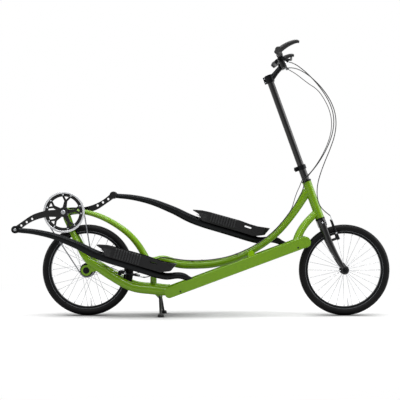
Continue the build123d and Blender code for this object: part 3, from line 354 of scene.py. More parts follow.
def dress_node(node: str, finish: Finish, body: str, edge: Edge = Edge.SOFT) -> None:
    """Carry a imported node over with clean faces, rounded edges and its finish.

    Args:
        node: The node's name.
        finish: The finish that it takes.
        body: The body that it moves with.
        edge: How round its edges are.
    """
    mesh = bmesh.new()
    mesh.from_mesh(frame["nodes"][node].data)
    bmesh.ops.remove_doubles(mesh, verts=mesh.verts, dist=1e-6)
    bmesh.ops.dissolve_limit(mesh, angle_limit=math.radians(0.4), verts=mesh.verts, edges=mesh.edges)
    piece = finish_piece(f"{node}_body", mesh, finish, body, (node,), 32.0)
    if edge is not Edge.NONE:
        bevel = piece.modifiers.new("rounded_edges", "BEVEL")
        bevel.width = edge.value * MM
        bevel.segments = 2
        bevel.limit_method = "ANGLE"
        bevel.angle_limit = math.radians(38)
        bevel.harden_normals = True
        bevel.use_clamp_overlap = True


def add_loft(mesh: bmesh.types.BMesh, rings: Sequence[Sequence[Vector]], closed: bool = False) -> None:
    """Skin rings of equal length with quads.

    Args:
        mesh: The geometry to add to.
        rings: Rings of points, each in the same order.
        closed: True joins the last ring to the first; otherwise both ends are capped.
    """
    made = [[mesh.verts.new(point) for point in ring] for ring in rings]
    count = len(made[0])
    pairs = list(zip(made, made[1:])) + ([(made[-1], made[0])] if closed else [])
    for low, high in pairs:
        for index in range(count):
            after = (index + 1) % count
            mesh.faces.new((low[index], low[after], high[after], high[index]))
    if not closed:
        mesh.faces.new(list(reversed(made[0])))
        mesh.faces.new(made[-1])


@dataclass
class Station:
    """One cross-section of a lofted bar.

    Attributes:
        centre: Where it is.
        up: Half its size square to the bar and to its side axis.
        across: Half its size along the bar's side axis.
        power: 2 for an ellipse, more for a squarer section.
    """

    centre: Vector
    up: float
    across: float
    power: float = 2.0


def bulge(turn: float, power: float) -> float:
    """Reach of a unit superellipse at an angle."""
    return (abs(math.cos(turn)) ** power + abs(math.sin(turn)) ** power) ** (-1 / power)


def tapered(
    points: Sequence[Vector], up: float, across: float, tip: float, power: float = 2.0
) -> list[Station]:
    """Sections of a raised rib, as thin as its tip at both ends."""
    widths = [tip, *(across for _ in points[2:]), tip]
    return [Station(point, up, width, power) for point, width in zip(points, widths)]


def add_bar(
    mesh: bmesh.types.BMesh, stations: Sequence[Station], sides: int = 24, side_axis: Vector = LATERAL
) -> None:
    """Loft a bar through its stations, square to the line that joins them.

    Args:
        mesh: The geometry to add to.
        stations: The cross-sections in order.
        sides: Points round each section.
        side_axis: The direction that each section's second half-size is measured along.
    """
    rings = []
    for index, station in enumerate(stations):
        run = stations[min(index + 1, len(stations) - 1)].centre - stations[max(index - 1, 0)].centre
        run.normalize()
        across = (side_axis - run * side_axis.dot(run)).normalized()
        up = run.cross(across)
        ring = []
        for step in range(sides):
            turn = math.tau * step / sides
            reach = bulge(turn, station.power) * MM
            rise = up * (station.up * math.cos(turn) * reach)
            ring.append(station.centre + rise + across * (station.across * math.sin(turn) * reach))
        rings.append(ring)
    add_loft(mesh, rings)


def add_pin(
    mesh: bmesh.types.BMesh, start: Vector, end: Vector, radius: float, sides: int = 20, chamfer: float = 0.0
) -> None:
    """Add a straight pin, bolt or washer, its ends chamfered if asked.

    Args:
        mesh: The geometry to add to.
        start: Centre of one end.
        end: Centre of the other.
        radius: Its radius.
        sides: Points round it.
        chamfer: How much each end's edge is cut back.
    """
    run = (end - start).normalized()
    first = run.cross(AHEAD if abs(run.x) < 0.9 else UPWARD).normalized()
    second = run.cross(first)
    steps = [(start, radius), (end, radius)]
    if chamfer:
        cut, face = run * (chamfer * MM), radius - chamfer
        steps = [(start, face), (start + cut, radius), (end - cut, radius), (end, face)]
    turns = [math.tau * index / sides for index in range(sides)]
    circle = [(first * math.cos(turn) + second * math.sin(turn)) * MM for turn in turns]
    add_loft(mesh, [[centre + point * size for point in circle] for centre, size in steps])


def add_cross_pin(
    mesh: bmesh.types.BMesh,
    place: Vector,
    ends: tuple[float, float],
    radius: float,
    sides: int = 20,
    chamfer: float = 0.0,
) -> None:
    """Add a pin along Y.

    Args:
        mesh: The geometry to add to.
        place: The point that its ends are measured from.
        ends: Where it starts and ends along Y from that point.
        radius: Its radius.
        sides: Points round it.
        chamfer: How much each end's edge is cut back.
    """
    start, end = (place + LATERAL * (y * MM) for y in ends)
    add_pin(mesh, start, end, radius, sides, chamfer)


def add_lathe(
    mesh: bmesh.types.BMesh,
    axle: Vector,
    profile: Sequence[tuple[float, float]],
    steps: int,
    shape: Callable[[int, int], float] | None = None,
) -> None:
    """Turn a closed profile of (radius, y) points about an axle along Y.

    Args:
        mesh: The geometry to add to.
        axle: A point on the axle.
        profile: The closed outline.
        steps: Sections round the axle.
        shape: Change in radius for a section and a profile point, or None for an even ring.
    """
    rings = []
    for step in range(steps):
        turn = math.tau * step / steps
        changes = [shape(step, index) if shape else 0.0 for index in range(len(profile))]
        rings.append([polar(axle, radius + change, turn, y) for (radius, y), change in zip(profile, changes)])
    add_loft(mesh, rings, closed=True)


def add_washer(
    mesh: bmesh.types.BMesh, axle: Vector, radii: tuple[float, float], faces: tuple[float, float], steps: int
) -> None:
    """Turn a flat ring about an axle along Y.

    Args:
        mesh: The geometry to add to.
        axle: A point on the axle.
        radii: Its inner and outer radius.
        faces: Where its two faces are along Y, from the axle's point.
        steps: Sections round the axle.
    """
    (inner, outer), (near, far) = radii, faces
    add_lathe(mesh, axle, [(inner, near), (outer, near), (outer, far), (inner, far)], steps)


def add_plate(mesh: bmesh.types.BMesh, outline: Sequence[Vector], thickness: Vector) -> None:
    """Add a flat plate from its outline and the vector to its other face."""
    add_loft(mesh, [list(outline), [point + thickness for point in outline]])


def add_strip(mesh: bmesh.types.BMesh, start: Vector, end: Vector, half: Vector, thickness: Vector) -> None:
    """Add a flat strip from the line along its middle, half its width and its thickness."""
    add_plate(mesh, [start - half, end - half, end + half, start + half], thickness)


def nurbs_tube(name: str, route: Sequence[Vector], radius: float) -> bmesh.types.BMesh:
    """Make a smooth tube along a route whose points control a NURBS spline.

    Args:
        name: The curve's name.
        route: The route's points.
        radius: The tube's radius.

    Returns:
        The tube's geometry.
    """
    curve = bpy.data.curves.new(name, "CURVE")
    curve.dimensions = "3D"
    curve.bevel_depth = radius * MM
    curve.bevel_resolution = 4
    curve.use_fill_caps = True
    spline = curve.splines.new("NURBS")
    spline.points.add(len(route) - 1)
    for point, place in zip(spline.points, route):
        point.co = (*place, 1.0)
    spline.order_u = 3
    spline.use_endpoint_u = True
    spline.resolution_u = 8
    holder = bpy.data.objects.new(name, curve)
    bpy.context.scene.collection.objects.link(holder)
    mesh = bmesh.new()
    mesh.from_mesh(bpy.data.meshes.new_from_object(holder))
    bpy.data.objects.remove(holder)
    return mesh


# ---------------------------------------------------------------------------------- shared places


def mm(x: float, y: float, z: float) -> Vector:
    """A point given in millimetres, in metres."""
    return Vector((x, y, z)) * MM


def polar(centre: Vector, radius: float, turn: float, y: float = 0.0) -> Vector:
    """A point at a radius and angle round an axle along Y, shifted along it by y."""
    return centre + mm(radius * math.cos(turn), y, radius * math.sin(turn))


def routed(points: Iterable[Triple]) -> list[Vector]:
    """A route's points in millimetres, in metres."""
    return [mm(*point) for point in points]


def beside(start: Vector, along: Vector, p: float, q: float, y: float) -> Vector:
    """A point p along a line in the plane of symmetry, q square above it and y across."""
    return start + (along * p + along.cross(LATERAL) * q + LATERAL * y) * MM


def box_mm(node: str) -> tuple[Vector, Vector]:
    """A node's box, as its low and high corner in millimetres."""
    low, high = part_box(node)
    return low / MM, high / MM


@dataclass(frozen=True)
class Layout:
    """The driving places that the sub-assemblies share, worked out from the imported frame.

    Attributes:
        front_axle: Centre of the front wheel.
        rear_axle: Centre of the rear wheel.
        crank_axle: Centre of the bottom bracket.
        pins: Crank pin of each side, in the plane of symmetry.
        rollers: Roller axle of each side, in the plane of symmetry.
        steer_foot: Point on the steering axis at the front axle's level.
        steer_up: Direction up the steering axis.
        bar_height: Height of the handlebar's middle up the steering axis.
        bar_ahead: How far ahead of that axis it is.
        rear_brake_lean: How far the rear brake's arms lie below level, in degrees.
    """

    front_axle: Vector
    rear_axle: Vector
    crank_axle: Vector
    pins: dict[Side, Vector]
    rollers: dict[Side, Vector]
    steer_foot: Vector
    steer_up: Vector
    bar_height: float = 1140
    bar_ahead: float = 88
    rear_brake_lean: float = 12

    @classmethod
    def from_frame(cls) -> Layout:
        """Read the places from the joints and from the boxes of the nodes that turn about them.

        Returns:
            The layout.
        """

        def middle(node: str) -> Vector:
            """Middle of a node's box, in the plane of symmetry."""
            low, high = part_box(node)
            return Vector(((low.x + high.x) / 2, 0, (low.z + high.z) / 2))

        joints = {joint["name"]: joint for joint in frame["record"]["behaviour"]["joints"]}
        pivots = {side: joints[f"{side.word}_arm_pivot"]["pos_m"] for side in Side}
        return cls(
            front_axle=middle("front_tyre"),
            rear_axle=middle("rear_tyre"),
            crank_axle=middle("crank_spindle"),
            pins={side: Vector((place[0], 0, place[2])) for side, place in pivots.items()},
            rollers={side: middle(f"{side.word}_roller") for side in Side},
            steer_foot=Vector(joints["steering"]["pos_m"]),
            steer_up=Vector(joints["steering"]["axis"]).normalized(),
        )

    @property
    def steer_ahead(self) -> Vector:
        """Direction ahead of the steering axis, square to it."""
        return Vector((self.steer_up.z, 0, -self.steer_up.x))

    @property
    def bar_centre(self) -> Vector:
        """Middle of the handlebar's clamp."""
        return self.on_steer(self.bar_height, self.bar_ahead)

    @property
    def rear_brake_out(self) -> Vector:
        """Direction from the rear axle to its brake."""
        lean = math.radians(self.rear_brake_lean)
        return Vector((math.cos(lean), 0, -math.sin(lean)))

    def on_steer(self, up: float, ahead: float = 0.0) -> Vector:
        """A point up the steering axis and ahead of it."""
        return beside(self.steer_foot, self.steer_up, up, -ahead, 0)


# ---------------------------------------------------------------------------------- sub-assemblies


@dataclass
class Wheel:
    """One spoked wheel: tyre with tread, rim, spokes, nipples, valve and hub.

    Attributes:
        place: "front" or "rear", as the nodes are named.
        axle: Its centre.
        spokes: How many spokes it has.
        outer_radius: Radius over the tread.
        section_radius: Half the tyre's width.
        rim_outer: Radius of the rim's edge.
        rim_inner: Radius of the rim's inner face.
        rim_half_width: Half the rim's width.
        tread_depth: How deep the sipes are.
        sipe_spacing: How many sections of the tyre lie from one sipe to the next.
    """

    place: str
    axle: Vector
    spokes: int
    outer_radius: float = 243
    section_radius: float = 20
    rim_outer: float = 211
    rim_inner: float = 195
    rim_half_width: float = 13
    tread_depth: float = 0.9
    sipe_spacing: int = 6

    @property
    def body(self) -> str:
        """The body that the wheel is."""
        return f"{self.place}_wheel"

    def tyre(self) -> None:
        """Turn the tyre's section with slanted sipes on its shoulders and fine ribs on its walls."""
        steps, points = 360, 40
        half, centre = self.section_radius, self.outer_radius - self.section_radius
        seat, bead = self.rim_outer - 4, self.rim_half_width - 2.3
        start = math.asin(bead / half)
        turns = [-math.pi + start + (math.tau - 2 * start) * index / (points - 1) for index in range(points)]
        wall = [(centre + half * math.cos(turn), half * math.sin(turn)) for turn in turns]

        def tread(step: int, index: int) -> float:
            """Change in radius that the tread makes.

            Args:
                step: Section round the tyre.
                index: Point of the outline, which its middle splits into two equal halves.

            Returns:
                The change, which is never above zero.
            """
            from_crown = abs(index - (points + 1) / 2)
            if 1.2 < from_crown < 8.5 and (step + round(from_crown * 1.2)) % self.sipe_spacing == 0:
                return -self.tread_depth
            if 0.9 < from_crown < 1.6:
                return -0.5 * self.tread_depth
            return -0.5 if from_crown in (12.5, 14.5) else 0.0

        mesh = bmesh.new()
        add_lathe(mesh, self.axle, [(seat, -bead), *wall, (seat, bead)], steps, tread)
        finish_piece(f"{self.place}_tyre_tread", mesh, TYRE_RUBBER, self.body, (f"{self.place}_tyre",), 28)

    def rim(self) -> None:
        """Dress the rim and add its brake tracks, the spoke nipples and the valve."""
        dress_node(f"{self.place}_rim", BLACK_ANODISED, self.body, Edge.FINE)
        mesh = bmesh.new()
        radii = (self.rim_outer - 4.2, self.rim_outer - 1.6)
        for side in SIGNS:
            face = side * self.rim_half_width
            add_washer(mesh, self.axle, radii, (face, face + side * 0.15), 180)
        finish_piece(f"{self.place}_brake_track", mesh, RUBBED_ALLOY, self.body)
        mesh = bmesh.new()
        for index in range(self.spokes):
            turn = math.tau * index / self.spokes
            side = 1 if index % 2 else -1
            foot = polar(self.axle, self.rim_inner - 11, turn, side * 3.4)
            add_pin(mesh, foot, polar(self.axle, self.rim_inner + 1, turn, side * 3), 1.9, 8, 0.4)
        finish_piece(f"{self.place}_spoke_nipples", mesh, BRIGHT_STEEL, self.body)
        mesh = bmesh.new()
        turn = math.pi / self.spokes - math.pi / 2
        for near, far, radius in ((30, -1, 3), (44, 29, 2.2), (5, -1, 5)):
            tip = polar(self.axle, self.rim_inner - near, turn)
            add_pin(mesh, tip, polar(self.axle, self.rim_inner - far, turn), radius, 14, 0.5)
        finish_piece(f"{self.place}_valve", mesh, SILVER_ALLOY, self.body)

    def hub(self) -> None:
        """Dress the spokes and hub, and add the bearings' dust covers."""
        dress_node(f"{self.place}_spokes", BRIGHT_STEEL, self.body, Edge.NONE)
        dress_node(f"{self.place}_hub", BLACK_ANODISED, self.body, Edge.FINE)
        mesh = bmesh.new()
        for side, corner in zip(SIGNS, box_mm(f"{self.place}_hub")):
            back, lip, face = (corner.y - side * depth for depth in (9, 6, 2))
            add_lathe(mesh, self.axle, [(5.6, back), (12.5, back), (12.5, lip), (9, face), (5.6, face)], 48)
        finish_piece(f"{self.place}_hub_covers", mesh, BLACK_NYLON, self.body)

    def build(self) -> None:
        """Build the whole wheel."""
        self.tyre()
        self.rim()
        self.hub()


@dataclass
class FrameTubes:
    """The painted frame: tubes, dropouts and brackets, with weld beads, headset cups and rear axle.

    Attributes:
        layout: The shared places.
        bead_radius: Half-thickness of a weld bead.
        shell_half_width: Where the bottom bracket shell's beads lie along Y.
        shell_radius: Radius of the shell.
        post_x: Where the centre post stands.
        post_beads: Height, radius and forward slope of the bead at each end of the post.
    """

    layout: Layout
    bead_radius: float = 2.2
    shell_half_width: float = 31
    shell_radius: float = 22
    post_x: float = -262
    post_beads: Sequence[Triple] = ((156, 17.2, 0), (277, 18.5, 0.2))

    def tubes(self) -> None:
        """Dress every painted node of the frame, the headset cups and the rear axle."""
        smooth = (
            "main_tube", "rear_arch_tube", "right_stay", "left_stay", "right_track_brace", "left_track_brace",
        )
        crisp = (
            "head_tube", "bottom_bracket_shell", "right_dropout", "left_dropout", "stay_bridge",
            "centre_post", "track_cross_tube", "stand_bracket",
        )
        for node in smooth + crisp:
            dress_node(node, GREEN_PAINT, "frame", Edge.NONE if node in smooth else Edge.SOFT)
        dress_node("headset_cups", BLACK_ANODISED, "frame")
        dress_node("rear_axle", BLACK_ANODISED, "frame", Edge.FINE)

    def ring_bead(self, mesh: bmesh.types.BMesh, centre: Vector, normal: Vector, radius: float) -> None:
        """Add a rippled weld bead round a tube's end.

        Args:
            mesh: The geometry to add to.
            centre: The middle of the joint.
            normal: Direction of the tube, never quite along Y.
            radius: Radius of the tube.
        """
        axis = normal.normalized()
        side = (LATERAL - axis * axis.y).normalized()
        rise = axis.cross(side)
        steps, sides = 96, 8
        rings = []
        for step in range(steps):
            turn = math.tau * step / steps
            outward = rise * math.cos(turn) + side * math.sin(turn)
            size = self.bead_radius * (1 + 0.14 * math.sin(step * 1.9))
            ring = []
            for index in range(sides):
                roll = math.tau * index / sides
                reach = outward * (radius + size * math.cos(roll))
                ring.append(centre + (reach + axis * (size * math.sin(roll))) * MM)
            rings.append(ring)
        add_loft(mesh, rings, closed=True)

    def beads(self) -> None:
        """Add the weld beads at both ends of the bottom bracket shell and of the centre post."""
        mesh = bmesh.new()
        for side in SIGNS:
            end = self.layout.crank_axle + LATERAL * (side * self.shell_half_width * MM)
            self.ring_bead(mesh, end, LATERAL + AHEAD * 1e-4, self.shell_radius)
        for height, radius, slope in self.post_beads:
            self.ring_bead(mesh, mm(self.post_x, 0, height), UPWARD + AHEAD * slope, radius)
        finish_piece("frame_weld_beads", mesh, GREEN_PAINT, "frame", smooth_deg=60)

    def build(self) -> None:
        """Build the frame's pieces."""
        self.tubes()
        self.beads()


@dataclass
class RollerTrack:
    """One inclined channel that the rollers run in, with its wear strips, end buffers and screws.

    Attributes:
        side: Which side it is on.
        layout: The shared places.
        angle_deg: How steeply it rises.
        centre_y: Distance of its middle from the plane of symmetry.
        floor: Where its floor's wear strips start, above the rollers' line.
        strip_y: Distance of each strip from the channel's middle.
        strip_thickness: How thick each strip is.
        wall_y: Distance of the outer wall's face from the channel's middle.
    """

    side: Side
    layout: Layout
    angle_deg: float = 20.4
    centre_y: float = 100
    floor: float = -20.25
    strip_y: float = 15.4
    strip_thickness: float = 1.2
    wall_y: float = 23

    @property
    def along(self) -> Vector:
        """Direction up the channel."""
        rise = math.radians(self.angle_deg)
        return Vector((math.cos(rise), 0, math.sin(rise)))

    def at(self, p: float, q: float, y: float = 0.0) -> Vector:
        """A point p up the rollers' line, q above it and y across from the channel's middle."""
        start = self.layout.rollers[self.side]
        return beside(start, self.along, p, q, self.side.value * self.centre_y + y)

    def liner(self, back: float, front: float) -> None:
        """Add the wear strips on the channel's floor and the buffer at each of their ends.

        Args:
            back: Where the strips start, along the rollers' line.
            front: Where they end.
        """
        mesh = bmesh.new()
        thickness = self.along.cross(LATERAL) * (self.strip_thickness * MM)
        for side in SIGNS:
            start, end = (self.at(p, self.floor, side * self.strip_y) for p in (back, front))
            add_strip(mesh, start, end, LATERAL * (3 * MM), thickness)
        for start in (back - 12, front + 2):
            add_bar(mesh, [Station(self.at(p, -6), 13, 17, 6) for p in (start, start + 6)], 32)
        finish_piece(f"{self.side.word}_track_liner", mesh, BLACK_NYLON, "frame")

    def build(self) -> None:
        """Dress the channel and add what is fixed in it."""
        word, out = self.side.word, self.side.value
        dress_node(f"{word}_track", GREEN_PAINT, "frame", Edge.ROUND)
        middle = self.layout.rollers[self.side].x / MM
        low, high = box_mm(f"{word}_track")
        back, front = (low.x - middle) / self.along.x + 42, (high.x - middle) / self.along.x - 30
        self.liner(back, front)
        mesh = bmesh.new()
        for share in (0.06, 0.94):
            seat = self.at(back + (front - back) * share, -10)
            add_cross_pin(mesh, seat, (out * (self.wall_y - 0.5), out * (self.wall_y + 1.8)), 4.5, 18, 0.5)
        finish_piece(f"{word}_track_screws", mesh, BLACK_ANODISED, "frame")


@dataclass
class Fork:
    """The steered parts: fork, steering tube, quick-release collar, crown bolts and front axle.

    Attributes:
        layout: The shared places.
        crown_bottom: Height of the crown's underside up the steering axis.
    """

    layout: Layout
    crown_bottom: float = 258

    def build(self) -> None:
        """Dress the nodes and add the bolts."""
        dress_node("fork", BLACK_PAINT, "steering_fork", Edge.ROUND)
        dress_node("steering_tube", BLACK_PAINT, "steering_fork", Edge.FINE)
        dress_node("column_clamp", BLACK_ANODISED, "steering_fork")
        dress_node("front_axle", BLACK_ANODISED, "steering_fork", Edge.FINE)
        mesh = bmesh.new()
        seat = self.layout.on_steer(self.crown_bottom + 20, 2)
        for side in SIGNS:
            add_cross_pin(mesh, seat, (side * 49, side * 52), 4.6, 18, 0.6)
        front, tip = (self.layout.on_steer(self.crown_bottom + 18, ahead) for ahead in (22, 26.5))
        add_pin(mesh, front, tip, 5, 18, 0.8)
        finish_piece("fork_bolts", mesh, BRIGHT_STEEL, "steering_fork")


@dataclass
class Cockpit:
    """The sliding column with stem, handlebar, grips, levers and gear shifter.

    Attributes:
        layout: The shared places.
        column_radius: Radius of the sliding tube.
        column_top: Height of its top up the steering axis.
        mark_start: Height of the lowest height mark.
        mark_pitch: Distance from one mark to the next.
        marks: How many marks there are.
    """

    layout: Layout
    column_radius: float = 18
    column_top: float = 1112
    mark_start: float = 726
    mark_pitch: float = 12
    marks: int = 12

    def height_marks(self) -> None:
        """Add the printed marks up the column's rear, every fourth one longer."""
        mesh = bmesh.new()
        for index in range(self.marks):
            dashes = 9 if index % 4 == 0 else 5
            centre = self.layout.on_steer(self.mark_start + index * self.mark_pitch)
            for step in range(dashes):
                turn = math.radians(6 * step - 3 * dashes)
                outward = self.layout.steer_ahead * -math.cos(turn) + LATERAL * math.sin(turn)
                foot = centre + outward * (self.column_radius * MM)
                head = foot + self.layout.steer_up * (0.7 * MM)
                across = outward.cross(self.layout.steer_up) * (0.8 * MM)
                add_strip(mesh, foot, head, across, outward * (0.02 * MM))
        finish_piece("column_height_marks", mesh, SILVER_ALLOY, "column_top")

    def stem_bolts(self) -> None:
        """Add the stem's two clamp bolts, the top cap's bolt and the four bolts of its face plate."""
        mesh = bmesh.new()
        for drop in (8, 28):
            seat = self.layout.on_steer(self.column_top - drop, -self.column_radius - 8)
            add_cross_pin(mesh, seat, (-9, 9), 3.4, 18, 0.6)
        cap, cap_top = (self.layout.on_steer(self.column_top + lift) for lift in (6, 8.4))
        add_pin(mesh, cap, cap_top, 5.2, 20, 0.8)
        for y in (-15, 15):
            for lift in (-14, 14):
                seat, head = (self.layout.bar_centre + mm(ahead, y, lift) for ahead in (14.5, 20.5))
                add_pin(mesh, seat, head, 3.1, 18, 0.5)
        finish_piece("stem_bolts", mesh, BRIGHT_STEEL, "column_top")

    def build(self) -> None:
        """Dress the column, the bar and what sits on it, and add the marks and bolts."""
        dress_node("upper_column", BLACK_PAINT, "column_top", Edge.FINE)
        dress_node("stem", BLACK_ANODISED, "column_top")
        self.height_marks()
        self.stem_bolts()
        dress_node("handlebar", BLACK_ANODISED, "column_top", Edge.FINE)
        for side in Side:
            dress_node(f"{side.word}_grip", GRIP_RUBBER, "column_top")
            dress_node(f"{side.word}_brake_lever", BRAKE_ALLOY, "column_top")
        dress_node("shifter", BLACK_NYLON, "column_top", Edge.ROUND)


@dataclass
class Crankset:
    """Spindle, chainring, guard ring, spider and both crank arms.

    Attributes:
        layout: The shared places.
        bolt_circle: Radius of the ring bolts.
        guard_inner: Radius of the guard ring's bore.
        guard_outer: Radius of its edge.
        spider_arms: How many arms the spider has, each with two ring bolts.
        spindle_end: Distance of each spindle end from the plane of symmetry.
        pin_end: Distance of each crank pin's end from it.
    """

    layout: Layout
    bolt_circle: float = 91
    guard_inner: float = 99
    guard_outer: float = 110
    spider_arms: int = 5
    spindle_end: float = 81
    pin_end: float = 118

    def guard_ring(self) -> None:
        """Turn the bright guard ring with its rolled edge."""
        low, high = box_mm("chain_guard_ring")
        middle, reach = (self.guard_inner + self.guard_outer) / 2, (self.guard_outer - self.guard_inner) / 2
        turns = [math.pi * step / 8 for step in range(9)]
        rolled = [(middle - reach * math.cos(turn), low.y + 1.2 * (1 - math.sin(turn))) for turn in turns]
        outline = [(self.guard_inner, high.y), *rolled, (self.guard_outer, high.y)]
        mesh = bmesh.new()
        add_lathe(mesh, self.layout.crank_axle, outline, 192)
        finish_piece("chain_guard_ring_turned", mesh, SILVER_ALLOY, "crankset", ("chain_guard_ring",))

    def bolts(self) -> None:
        """Add the ring bolts, the spindle's caps and the nuts of the crank pins."""
        axle = self.layout.crank_axle
        ring_face = box_mm("chain_guard_ring")[0].y
        mesh = bmesh.new()
        for arm in range(self.spider_arms):
            for swing in (-13, 13):
                seat = polar(axle, self.bolt_circle, math.radians(80 + 360 / self.spider_arms * arm + swing))
                add_cross_pin(mesh, seat, (ring_face + 1, ring_face - 2.2), 4.4, 18, 0.6)
        for side in Side:
            spindle, pin = side.value * self.spindle_end, side.value * self.pin_end
            add_cross_pin(mesh, axle, (spindle, spindle + side.value * 2.2), 9, 30, 0.8)
            add_cross_pin(mesh, self.layout.pins[side], (pin, pin + side.value * 2), 7, 6, 0.6)
        finish_piece("crankset_bolts", mesh, BRIGHT_STEEL, "crankset")

    def build(self) -> None:
        """Dress the nodes and add the guard ring, bolts and caps."""
        dress_node("crank_spindle", BRIGHT_STEEL, "crankset", Edge.FINE)
        dress_node("chainring", BLACK_ANODISED, "crankset", Edge.FINE)
        self.guard_ring()
        dress_node("crank_spider", BLACK_PAINT, "crankset")
        for side in Side:
            dress_node(f"{side.word}_crank_arm", BLACK_PAINT, "crankset", Edge.ROUND)
        self.bolts()


@dataclass
class Chain:
    """Roller chain along its two straight runs and round the ring and sprocket.

    Attributes:
        big: Centre of the chainring.
        small: Centre of the sprocket.
        big_radius: Pitch radius of the chainring.
        small_radius: Pitch radius of the sprocket.
        centre_y: Where it runs along Y.
        pitch: Distance between its pins.
        plate_half: Half the height of its side plates.
        heading: Angle of the line from the chainring to the sprocket.
        lean: Angle from that line to the ends of each straight run.
        straight: Length of one straight run.
        small_arc: Length round the sprocket.
        length: Length of the whole loop.
    """

    big: Vector
    small: Vector
    big_radius: float = 105.17
    small_radius: float = 36.57
    centre_y: float = -50
    pitch: float = 12.7
    plate_half: float = 3.4
    heading: float = field(init=False)
    lean: float = field(init=False)
    straight: float = field(init=False)
    small_arc: float = field(init=False)
    length: float = field(init=False)

    def __post_init__(self) -> None:
        """Work out the loop's runs and arcs from the two centres."""
        run = (self.small - self.big) / MM
        drop = self.big_radius - self.small_radius
        self.heading = math.atan2(run.z, run.x)
        self.lean = math.acos(drop / run.length)
        self.straight = math.sqrt(run.length**2 - drop**2)
        self.small_arc = self.small_radius * 2 * self.lean
        self.length = 2 * self.straight + self.small_arc + self.big_radius * (math.tau - 2 * self.lean)

    def on_ring(self, turn: float) -> Vector:
        """A point of the chain round the chainring."""
        return polar(self.big, self.big_radius, turn, self.centre_y)

    def on_sprocket(self, turn: float) -> Vector:
        """A point of the chain round the sprocket."""
        return polar(self.small, self.small_radius, turn, self.centre_y)

    def place(self, distance: float) -> Vector:
        """A point of the loop, at a distance along it from the ring's upper end.

        Args:
            distance: How far along, which may run past the loop's length.

        Returns:
            The point.
        """
        distance %= self.length
        upper, lower = self.heading + self.lean, self.heading - self.lean
        if distance < self.straight:
            return self.on_ring(upper).lerp(self.on_sprocket(upper), distance / self.straight)
        distance -= self.straight
        if distance < self.small_arc:
            return self.on_sprocket(upper - distance / self.small_radius)
        distance -= self.small_arc
        if distance < self.straight:
            return self.on_sprocket(lower).lerp(self.on_ring(lower), distance / self.straight)
        return self.on_ring(lower - (distance - self.straight) / self.big_radius)

    def plate(self, mesh: bmesh.types.BMesh, start: Vector, end: Vector, y: float, thickness: float) -> None:
        """Add one waisted side plate between two pins.

        Args:
            mesh: The geometry to add to.
            start: First pin.
            end: Second pin.
            y: Its inner face's place across the chain.
            thickness: Its thickness, outward.
        """
        along = (end - start).normalized() * (self.plate_half * MM)
        up = along.cross(LATERAL)
        outline = []
        for centre, heading in ((end, -1), (start, 1)):
            for step in range(7):
                turn = math.radians(-75 + 25 * step)
                outline.append(centre - (along * math.cos(turn) + up * math.sin(turn)) * heading)
            outline.append((start + end) / 2 - up * (heading * 0.68))
        add_plate(mesh, [point + LATERAL * (y * MM) for point in outline], LATERAL * (thickness * MM))

    def build(self) -> None:
        """Lay the links along the loop, inner and outer plates in turn."""
        count = round(self.length / self.pitch / 2) * 2
        step = self.length / count
        mesh = bmesh.new()
        for index in range(count):
            start, end = self.place(index * step), self.place((index + 1) * step)
            near = 2.75 if index % 2 else 1.75
            for side in SIGNS:
                self.plate(mesh, start, end, side * near, side * 0.95)
            add_cross_pin(mesh, start, (-3.9, 3.9), 1.8, 8)
            add_cross_pin(mesh, start, (-1.7, 1.7), 3.6, 12)
        finish_piece("roller_chain", mesh, CHAIN_STEEL, "frame", ("chain",))


